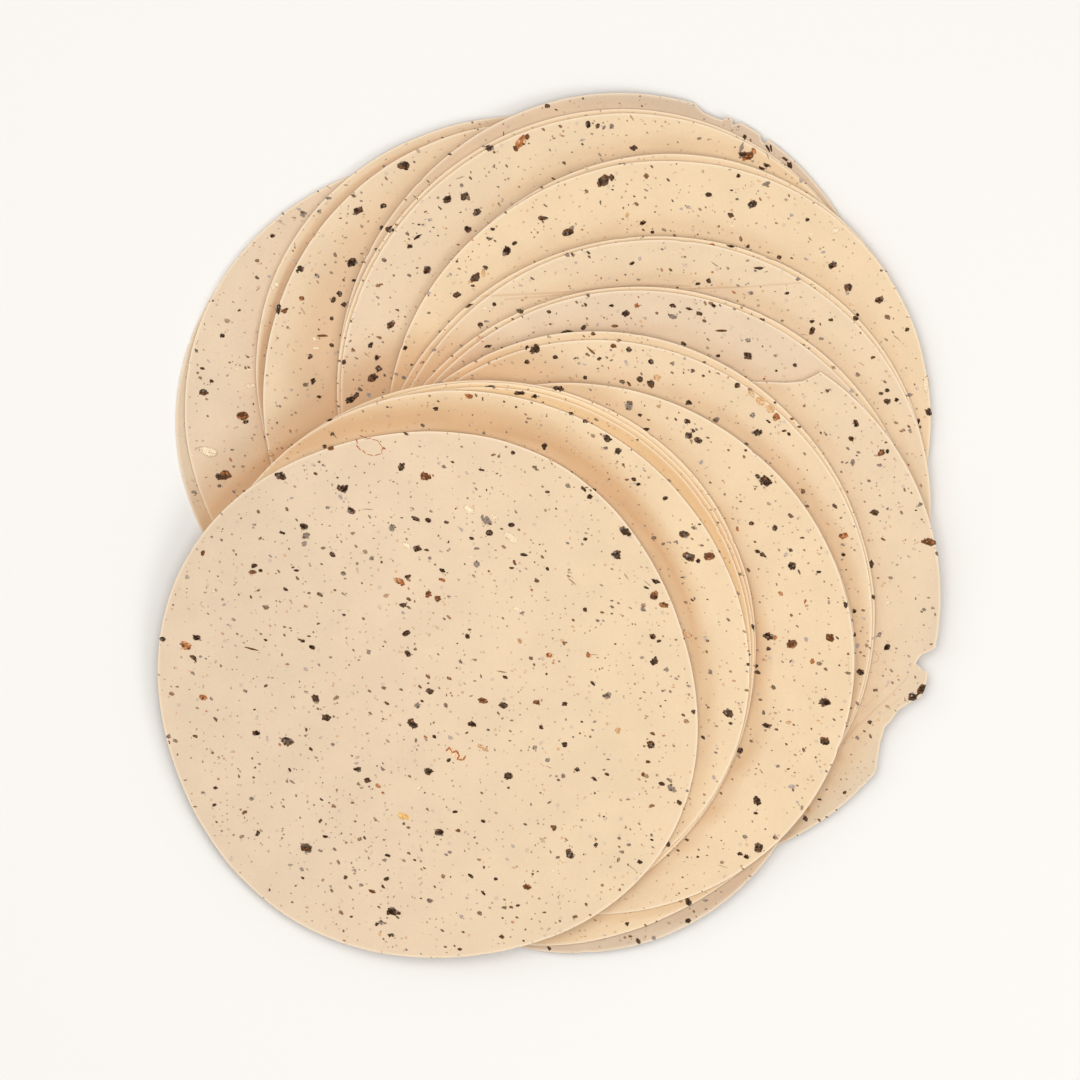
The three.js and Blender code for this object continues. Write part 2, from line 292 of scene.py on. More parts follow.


# the painted warm shade beside the rims above: half a cosine wave down over the width of each kind
def warmShade(level, x, y):
    shade = np.zeros(x.shape)
    for above in range(level + 1, len(papadums)):
        angle, reach = fromMiddle(papadums[above], x, y)
        distance = np.clip(reach - rimRadius(above, angle), 0, None)
        rise = outlineRise(papadums[above], angle)
        kinds = [[rise * shading["curl"], rise * shading["curlWidth"]]]
        for number, strength, width, at, focus in wideShades:
            if number == above + 1:
                facing = (0.5 + 0.5 * np.cos(angle - math.radians(at))) ** focus
                kinds.append([strength * facing, width * facing])
        facing = 0.5 + 0.5 * np.cos(angle - math.radians(shading["nearAt"]))
        near = shading["near"] * (shading["nearLeast"] + (1 - shading["nearLeast"]) * facing)
        total = near * smoothFall(distance, shading["nearWidth"])
        start = 1 - (1 - shading["curlStart"]) * np.exp(-distance / shading["startLength"])
        for strength, width in kinds:
            flat = shading["curlFlat"] * width
            total += strength * start * smoothFall(distance - flat, width - flat + 0.01)
        shade = np.maximum(shade, total)
    return shade


# how much of a high step to the rims above a point has beside it: steepness * exp(-distance / length)
def stepShare(level, x, y, length):
    height, share = np.zeros(x.shape), np.zeros(x.shape)
    for above in range(level + 1, len(papadums)):
        height += stack["pitch"] * smoothFall(edgeDistance(papadums[above - 1], x, y), stack["droop"])
        distance = np.clip(edgeDistance(papadums[above], x, y), 0, None)
        steep = 1 - smoothFall(height - shading["low"], shading["high"] - shading["low"])
        share = np.maximum(share, steep * np.exp(-distance / length))
    return share


# 1 at the left of the stack, where painted light brightens the valley beside the top papadums
def leftShare(x, y):
    alongX, alongY = shading["left"]
    return np.clip((alongX * x + alongY * y) / shading["leftReach"], 0, 1)


# Makes a mesh object at the origin. Faces come as arrays of corners, one array for each face size.
def addPiece(name, points, faceArrays, material, smooth=True):
    mesh = bpy.data.meshes.new(name)
    mesh.vertices.add(len(points))
    mesh.vertices.foreach_set("co", (points * mm).astype(np.float32).ravel())
    corners = np.concatenate([faces.ravel() for faces in faceArrays]).astype(np.int32)
    sizes = np.concatenate([np.full(len(faces), faces.shape[1]) for faces in faceArrays])
    mesh.loops.add(len(corners))
    mesh.loops.foreach_set("vertex_index", corners)
    mesh.polygons.add(len(sizes))
    mesh.polygons.foreach_set("loop_start", (np.cumsum(sizes) - sizes).astype(np.int32))
    mesh.polygons.foreach_set("use_smooth", np.full(len(sizes), smooth))
    mesh.update(calc_edges=True)
    mesh.materials.append(material)
    piece = bpy.data.objects.new(name, mesh)
    bpy.context.scene.collection.objects.link(piece)
    return piece


def addValues(piece, name, values):
    attribute = piece.data.attributes.new(name, "FLOAT", "POINT")
    attribute.data.foreach_set("value", values.astype(np.float32).ravel())


def addVectors(piece, name, vectors):
    attribute = piece.data.attributes.new(name, "FLOAT_VECTOR", "POINT")
    attribute.data.foreach_set("vector", vectors.astype(np.float32).ravel())


def addColours(piece, name, colours):
    attribute = piece.data.attributes.new(name, "FLOAT_COLOR", "POINT")
    rgba = np.concatenate([colours, np.ones((len(colours), 1))], axis=1)
    attribute.data.foreach_set("color", rgba.astype(np.float32).ravel())


# screen colour from 0 to 255 as the linear values that Blender uses
def linearColour(colour):
    share = np.asarray(colour, float) / 255
    return np.where(share < 0.04045, share / 12.92, ((share + 0.055) / 1.055) ** 2.4)


def socketColour(colour):
    return (*linearColour(colour), 1)


def addNode(tree, kind, inputs=None, **settings):
    made = tree.nodes.new("ShaderNode" + kind)
    for name, value in settings.items():
        setattr(made, name, value)
    for socket, value in (inputs or {}).items():
        if isinstance(value, bpy.types.NodeSocket):
            tree.links.new(value, made.inputs[socket])
        else:
            made.inputs[socket].default_value = value
    return made


def addMath(tree, operation, *values):
    return addNode(tree, "Math", dict(enumerate(values)), operation=operation).outputs[0]


def addMix(tree, share, first, second, blend="MIX"):
    made = addNode(tree, "Mix", data_type="RGBA", blend_type=blend)
    for socket, value in zip([0, 6, 7], [share, first, second]):
        if isinstance(value, bpy.types.NodeSocket):
            tree.links.new(value, made.inputs[socket])
        else:
            made.inputs[socket].default_value = value
    return made.outputs[2]


# a value carried from one range to another, with soft ends
def addRange(tree, value, fromMin, fromMax, toMin=0.0, toMax=1.0):
    inputs = {"Value": value, "From Min": fromMin, "From Max": fromMax, "To Min": toMin, "To Max": toMax}
    return addNode(tree, "MapRange", inputs, interpolation_type="SMOOTHSTEP").outputs[0]


def addGreyTint(tree, colour, value):
    grey = addNode(tree, "CombineColor", {0: value, 1: value, 2: value}).outputs[0]
    return addMix(tree, 1.0, colour, grey, "MULTIPLY")


def newGroup(name, inputs, outputs):
    group = bpy.data.node_groups.new(name, "ShaderNodeTree")
    for socket, kind in inputs.items():
        group.interface.new_socket(socket, in_out="INPUT", socket_type="NodeSocket" + kind)
    for socket, kind in outputs.items():
        group.interface.new_socket(socket, in_out="OUTPUT", socket_type="NodeSocket" + kind)
    return group, group.nodes.new("NodeGroupInput").outputs, group.nodes.new("NodeGroupOutput").inputs


def addGroup(tree, group, inputs):
    made = tree.nodes.new("ShaderNodeGroup")
    made.node_tree = group
    for socket, value in inputs.items():
        if isinstance(value, bpy.types.NodeSocket):
            tree.links.new(value, made.inputs[socket])
        else:
            made.inputs[socket].default_value = value
    return made.outputs


# Dots scattered over a flat pattern place: each cell of a grid of about Cell millimetres holds a dot
# with a chance of Amount. A dot's radius is up to Size millimetres and its edge fades over Softness.
def buildDotGroup():
    group, given, result = newGroup(
        "Scattered dots",
        {"Place": "Vector", "Cell": "Float", "Amount": "Float", "Size": "Float", "Softness": "Float"},
        {"Mask": "Float", "Chance": "Float"})
    wobble = addNode(group, "TexNoise", {"Vector": given["Place"], "Scale": 1.4, "Detail": 1.0})
    shift = addNode(group, "VectorMath", {0: wobble.outputs["Color"], 1: (0.5, 0.5, 0.5)},
                    operation="SUBTRACT").outputs[0]
    moved = addNode(group, "VectorMath", {0: shift, 1: (0.8, 0.8, 0), 2: given["Place"]},
                    operation="MULTIPLY_ADD").outputs[0]
    scale = addMath(group, "DIVIDE", 1.0, given["Cell"])
    cells = addNode(group, "TexVoronoi", {"Vector": moved, "Scale": scale}, voronoi_dimensions="2D")
    drawn = addNode(group, "SeparateColor", {"Color": cells.outputs["Color"]}).outputs
    distance = addMath(group, "MULTIPLY", cells.outputs["Distance"], given["Cell"])
    share = addMath(group, "MULTIPLY_ADD", drawn["Green"], 0.6, 0.4)
    radius = addMath(group, "MULTIPLY", share, given["Size"])
    depth = addMath(group, "DIVIDE", addMath(group, "SUBTRACT", radius, distance), given["Softness"])
    inside = addRange(group, depth, -0.5, 0.5)
    present = addMath(group, "LESS_THAN", drawn["Red"], given["Amount"])
    group.links.new(addMath(group, "MULTIPLY", inside, present), result["Mask"])
    group.links.new(drawn["Blue"], result["Chance"])
    return group


# A fold line: 1 on the straight line from Start to End, falling to 0 at half the Width beside it.
def buildFoldGroup():
    group, given, result = newGroup(
        "Fold line",
        {"Place": "Vector", "Start": "Vector", "End": "Vector", "Width": "Float"},
        {"Mask": "Float"})
    along, reach = (
        addNode(group, "VectorMath", {0: given[name], 1: given["Start"]}, operation="SUBTRACT").outputs[0]
        for name in ("End", "Place"))
    dot = addNode(group, "VectorMath", {0: reach, 1: along}, operation="DOT_PRODUCT").outputs["Value"]
    square = addNode(group, "VectorMath", {0: along, 1: along}, operation="DOT_PRODUCT").outputs["Value"]
    share = addNode(group, "Clamp", {"Value": addMath(group, "DIVIDE", dot, square)}).outputs[0]
    foot = addNode(group, "VectorMath", {0: along, "Scale": share}, operation="SCALE").outputs[0]
    distance = addNode(group, "VectorMath", {0: reach, 1: foot}, operation="DISTANCE").outputs["Value"]
    half = addMath(group, "MULTIPLY", given["Width"], 0.5)
    fall = addMath(group, "SUBTRACT", 1.0, addMath(group, "DIVIDE", distance, half))
    group.links.new(addNode(group, "Clamp", {"Value": fall}).outputs[0], result["Mask"])
    return group


dough = {
    "warm": (238, 209, 163),
    "pale": (222, 198, 169),
    # painted shade, darker and greyer, where a low sheet has nothing under it
    "thin": (243, 246, 250),
    # painted light: the lighter colour of the valleys at the left
    "paintedValleyLight": (244, 209, 165),
    "around": (232, 203, 168),  # what faint specks fade into
    # painted shade beside the rims above
    "shade": (205, 148, 72),
    # painted highlight along the top of each rim
    "rimHighlight": (244, 226, 200),
    "rimSide": (240, 205, 160),
    # painted shade in the fold lines
    "creaseShade": (196, 146, 104),
    "mottle": 0.05,
    "cloudScale": 0.06,
    "grainScale": 1.6,
    "fineScale": 4.0,
    "creaseShadeStrength": 0.4,
    "dustDark": (84, 66, 56),
    "dustLight": (172, 138, 110),
    "ghost": (148, 138, 142),
    "rust": (198, 140, 88),
    "roughness": 0.72,
    "roughnessSpread": 0.06,
    "specular": 0.25,
    "bump": 0.25,
    "bumpDepth": 0.0001,
    "seed": 500,
    "patternStep": 400,  # from one papadum's part of the patterns to the next, in millimetres
}

# faint dots in the dough: cell, share of the cells that hold a dot, size, softness and strength
dotLayers = {
    "dust": [2.2, 0.22, 0.3, 0.25, 0.75],
    "ghost": [5.0, 0.14, 0.6, 0.8, 0.35],
    "rust": [5.1, 0.22, 0.45, 0.4, 0.6],
}


# fold lines pressed into the dough, with painted shade: start and end (x, y), width and how strongly they
# show
folds = [
    [-22, 73, 11, 74.6, 1, 0.8], [-14, 72, 13, 74.2, 0.8, 0.7], [11, 75, 29, 76.5, 1, 0.7],
    [29, 76.5, 45, 76.3, 1, 0.8], [45, 75.4, 62, 76, 0.9, 0.9], [62, 76, 81, 77.4, 0.9, 0.6],
    [93.8, -70, 98.6, -63.7, 1.8, 0.55], [97, -65.9, 114, -49.4, 0.9, 0.45],
    [103, -60.2, 110.4, -53.4, 0.8, 0.4], [107.1, -57, 114.9, -48, 0.9, 0.3],
    [99, -67.5, 112, -55.5, 0.7, 0.3], [96, -63.5, 108.5, -50.5, 0.7, 0.25],
    [95.5, -43.5, 95.8, -49.4, 0.5, 0.6], [95.8, -49.4, 96.6, -53.4, 0.5, 0.6],
    [103.9, -40.2, 105.4, -42.2, 0.6, 1], [105.4, -42.2, 105, -43.5, 0.6, 0.9],
    [105, -43.5, 103.4, -44.2, 0.6, 0.9], [-87.7, 97.6, -84.5, 96, 0.7, 1],
]


def addDots(tree, dots, place, name):
    cell, amount, size, softness, strength = dotLayers[name]
    layer = addGroup(tree, dots, {"Place": place, "Cell": cell, "Amount": amount, "Size": size,
                                  "Softness": softness})
    return addMath(tree, "MULTIPLY", layer["Mask"], strength), layer["Chance"]


def addPattern(tree, place, scale, detail, **inputs):
    inputs = {"Vector": place, "Scale": scale, "Detail": detail, **inputs}
    return addNode(tree, "TexNoise", inputs).outputs["Fac"]


# The dough's colour and relief, with the given fold lines pressed into it.
def buildDoughMaterial(name, dots, fold, lines):
    material = bpy.data.materials.new(name)
    material.use_nodes = True
    tree = material.node_tree
    shader = tree.nodes["Principled BSDF"]
    place = addNode(tree, "Attribute", attribute_name="flatPlace").outputs["Vector"]
    rimHighlight = addNode(tree, "Attribute", attribute_name="rimHighlight").outputs["Fac"]
    rimSide = addNode(tree, "Attribute", attribute_name="rimSide").outputs["Fac"]
    shade = addNode(tree, "Attribute", attribute_name="shade").outputs["Fac"]
    thin = addNode(tree, "Attribute", attribute_name="thin").outputs["Fac"]
    paintedValleyLight = addNode(tree, "Attribute", attribute_name="paintedValleyLight").outputs["Fac"]
    tone = addNode(tree, "Attribute", attribute_name="tone").outputs["Fac"]

    clouds = addPattern(tree, place, dough["cloudScale"], 3.0, Roughness=0.6)
    grain = addPattern(tree, place, dough["grainScale"], 3.0, Roughness=0.7)
    colour = addMix(tree, tone, socketColour(dough["warm"]), socketColour(dough["pale"]))
    wide = addRange(tree, clouds, 0.3, 0.7, 1 - dough["mottle"], 1.0)
    fine = addRange(tree, grain, 0.3, 0.7, 1 - dough["mottle"], 1.0)
    colour = addGreyTint(tree, colour, addMath(tree, "MULTIPLY", wide, fine))
    # painted light in the valleys at the left
    colour = addMix(tree, paintedValleyLight, colour, socketColour(dough["paintedValleyLight"]))
    # painted shade beside the rims above
    colour = addMix(tree, shade, colour, socketColour(dough["shade"]), "MULTIPLY")
    # painted shade where a low sheet has nothing under it
    colour = addMix(tree, thin, colour, socketColour(dough["thin"]), "MULTIPLY")

    where = addNode(tree, "TexCoord").outputs["Object"]
    where = addNode(tree, "VectorMath", {0: where, 1: (1000, 1000, 0)}, operation="MULTIPLY").outputs[0]
    foldReliefAndShade = 0.0
    for startX, startY, endX, endY, width, strength in lines:
        line = addGroup(tree, fold, {"Place": where, "Start": (startX, startY, 0), "End": (endX, endY, 0),
                                     "Width": width})
        foldReliefAndShade = addMath(tree, "MAXIMUM", foldReliefAndShade, addMath(tree, "MULTIPLY", line["Mask"], strength))
    # painted shade along the fold lines, whose mask also presses them in as relief
    creaseShadeShare = addMath(tree, "MULTIPLY", foldReliefAndShade, dough["creaseShadeStrength"])
    colour = addMix(tree, creaseShadeShare, colour, socketColour(dough["creaseShade"]), "MULTIPLY")

    for kind in ("ghost", "rust"):
        share, chance = addDots(tree, dots, place, kind)
        colour = addMix(tree, share, colour, socketColour(dough[kind]))
    share, chance = addDots(tree, dots, place, "dust")
    dustColour = addMix(tree, chance, socketColour(dough["dustDark"]), socketColour(dough["dustLight"]))
    colour = addMix(tree, share, colour, dustColour)
    # painted highlight along the top of each rim
    colour = addMix(tree, rimHighlight, colour, socketColour(dough["rimHighlight"]))
    colour = addMix(tree, rimSide, colour, socketColour(dough["rimSide"]))
    tree.links.new(colour, shader.inputs["Base Color"])

    low, high = dough["roughness"] - dough["roughnessSpread"], dough["roughness"] + dough["roughnessSpread"]
    tree.links.new(addRange(tree, grain, 0.3, 0.7, low, high), shader.inputs["Roughness"])
    finest = addPattern(tree, place, dough["fineScale"], 2.0)
    height = addMath(tree, "MULTIPLY_ADD", finest, 0.3, addMath(tree, "MULTIPLY", grain, 0.7))
    height = addMath(tree, "SUBTRACT", height, foldReliefAndShade)
    bump = addNode(tree, "Bump", {"Strength": dough["bump"], "Distance": dough["bumpDepth"],
                                  "Height": height})
    tree.links.new(bump.outputs[0], shader.inputs["Normal"])
    shader.inputs["Specular IOR Level"].default_value = dough["specular"]
    return material


crumbLook = {
    "scale": 2600.0,
    "contrast": 0.3,
    "bump": 0.5,
    "bumpDepth": 0.0002,
    "roughness": 0.8,
    "specular": 0.1,
}


def buildCrumbMaterial(name):
    material = bpy.data.materials.new(name)
    material.use_nodes = True
    tree = material.node_tree
    shader = tree.nodes["Principled BSDF"]
    tint = addNode(tree, "Attribute", attribute_name="tint").outputs["Color"]
    place = addNode(tree, "TexCoord").outputs["Object"]
    rough = addPattern(tree, place, crumbLook["scale"], 2.0)
    value = addRange(tree, rough, 0.3, 0.7, 1 - crumbLook["contrast"], 1 + crumbLook["contrast"])
    tree.links.new(addGreyTint(tree, tint, value), shader.inputs["Base Color"])
    bump = addNode(tree, "Bump", {"Strength": crumbLook["bump"], "Distance": crumbLook["bumpDepth"],
                                  "Height": rough})
    tree.links.new(bump.outputs[0], shader.inputs["Normal"])
    shader.inputs["Roughness"].default_value = crumbLook["roughness"]
    shader.inputs["Specular IOR Level"].default_value = crumbLook["specular"]
    return material


# A papadum: its profile carried round the outline, with the inset from the rim kept in every
# direction near the rim and shrinking towards the middle. Both poles are closed by fans.
def buildPapadum(level, material):
    disc = papadums[level]
    isBroken = any(gap["papadum"] == level + 1 for gap in breaks)
    sectors = rim["brokenSectors"] if isBroken else rim["sectors"]
    angle = np.arange(sectors) * 2 * np.pi / sectors
    topProfile = [[inset, 1] for inset in topInsets]
    undersideProfile = [[inset, 0] for inset in undersideInsets]
    profile = np.array(topProfile + sideProfile + undersideProfile)
    inset, lift = profile[:, 0, None], profile[:, 1, None]
    radius = rimRadius(level, angle)[None, :] * (1 - inset / disc["r"])
    x = np.append(disc["x"] + radius * np.cos(angle), [disc["x"], disc["x"]])
    y = np.append(disc["y"] + radius * np.sin(angle), [disc["y"], disc["y"]])
    lifts = np.append(np.broadcast_to(lift, radius.shape), [1, 0])
    z = undersideHeight(level, x, y) + stack["thickness"] * lifts

    rows = len(profile)
    corner = np.arange(rows * sectors).reshape(rows, sectors)
    after = np.roll(corner, -1, axis=1)
    quads = np.stack([corner[:-1], corner[1:], after[1:], after[:-1]], axis=-1).reshape(-1, 4)
    topPole, undersidePole = rows * sectors, rows * sectors + 1
    topFan = np.stack([np.full(sectors, topPole), corner[0], after[0]], axis=-1)
    undersideFan = np.stack([np.full(sectors, undersidePole), after[-1], corner[-1]], axis=-1)
    name = f"papadum_{level + 1:02d}"
    points = np.stack([x, y, z], axis=-1)
    piece = addPiece(name + "_dough", points, [quads, topFan, undersideFan], material)

    insets = np.append(np.broadcast_to(inset, radius.shape), [disc["r"], disc["r"]])
    isTop = lifts > 0.9
    # painted highlight along the top of the rim
    highlightTop = np.clip(1 - (insets - rim["bevel"]) / rim["highlightWidth"], 0, 1) * isTop
    addValues(piece, "rimHighlight", highlightTop * rim["highlightTop"])
    addValues(piece, "rimSide", ((lifts > 0) & (lifts < 0.8)) * rim["paleSide"])
    # share of the painted shade beside the rims above
    stepShade = shading["step"] * (1 - leftShare(x, y)) * stepShare(level, x, y, shading["stepLength"])
    addValues(piece, "shade", warmShade(level, x, y) + stepShade)
    # share of the painted shade where a low sheet has nothing under it
    addValues(piece, "thin", thinShare(level, x, y))
    # share of the painted light in the valleys at the left
    addValues(piece, "paintedValleyLight", leftShare(x, y) * stepShare(level, x, y, shading["paintedValleyLightLength"]))
    addValues(piece, "tone", disc["tone"] + disc.get("drift", 0) * (x - disc["x"]))
    turn = np.random.default_rng(dough["seed"] + level).uniform(0, np.pi)
    dx, dy = x - disc["x"], y - disc["y"]
    place = [dx * math.cos(turn) + dy * math.sin(turn), dy * math.cos(turn) - dx * math.sin(turn)]
    place[0] = place[0] + dough["patternStep"] * level
    addVectors(piece, "flatPlace", np.stack([*place, lifts], axis=-1))
    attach(piece, "root")
    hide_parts(name)
    return piece


# The largest peppercorn pieces that show: x, y, length, direction in degrees, and the kind where
# it isn't black.
peppercorns = [
    [-46.5, 115, 4.4, 5], [-61, 100.5, 3.8, 20], [-51, 94.5, 3.2, 0], [-27, 105, 3.6, 30],
    [-63, 84, 4, 25], [-39, 81.5, 3.4, 60], [-86.5, 69, 3, 80], [-50.5, 64, 3.2, 45],
    [-56.5, 47, 3.8, 30], [-63.5, 40, 3.4, 20], [-98, 35, 4.4, -10, "brown"], [-110.5, 42.5, 3.2, 0],
    [-103.5, 16, 4.6, -15, "brown"], [-9, 122.5, 5.6, 50, "rust"], [12.5, 128, 2.8, 90],
    [17.5, 110, 4.8, 35], [27, 120.5, 2.8, 0], [63.5, 118, 4.4, 15, "brown"], [65, 102.5, 3.6, 20],
    [6, 93.5, 4.2, 30], [-13.5, 87.5, 3.6, 70], [-23.5, 79, 3.8, 35], [90.5, 83, 3.2, 40],
    [105.5, 72, 3.2, 20], [84, 62, 3, 60], [24.5, 67.5, 3, 0], [-4.5, 56, 3.8, 40], [63.5, 54, 3.4, -15],
    [66.5, 29.5, 3.2, 10], [47.5, 27, 3.2, -25], [69, 14, 4.6, -20], [106, 23, 3, 45, "brown"],
    [104, 4, 3, 0], [18.5, 27.5, 3.2, -30], [24, -2, 3.8, -30], [44.5, -10, 4.2, -15],
    [70, -35.5, 3.6, -10], [77.5, -38, 4.2, 10, "brown"], [88, -56.5, 4, 0], [88, -69, 3.8, -25],
    [108, -39, 2.8, 30], [66.5, -88, 3.4, -40], [57, -60, 3.8, -20], [33.5, -43.5, 3.2, 60],
    [-85.5, 15.5, 3.8, -20], [-39.5, 15.5, 3.8, -25, "brown"], [-65.5, 11.5, 3.6, 10],
    [-63, 4.5, 3.2, -30], [-42, -7.5, 3, -15], [-19, -2.5, 3, 0], [-45.5, -34.5, 3, 20],
    [-14.5, -57.5, 3.2, -10], [-74.5, -55.5, 3.4, -50], [-71, -61.5, 3.2, -10], [-83.5, -69, 4.4, -10],
    [-93.5, -66.5, 2.8, 0], [-43.5, -63.5, 3.8, -25], [-24.5, -63.5, 2.8, -20], [-38.5, -78.5, 3.2, 0],
    [-30, -73, 6.4, -35, "husk"], [-13, -80, 3.4, -20], [-35, -98, 3.4, -15], [-77.5, -103, 4.2, -20],
    [-50, -123.5, 4, -20], [6.5, -105, 3.8, -60],
]

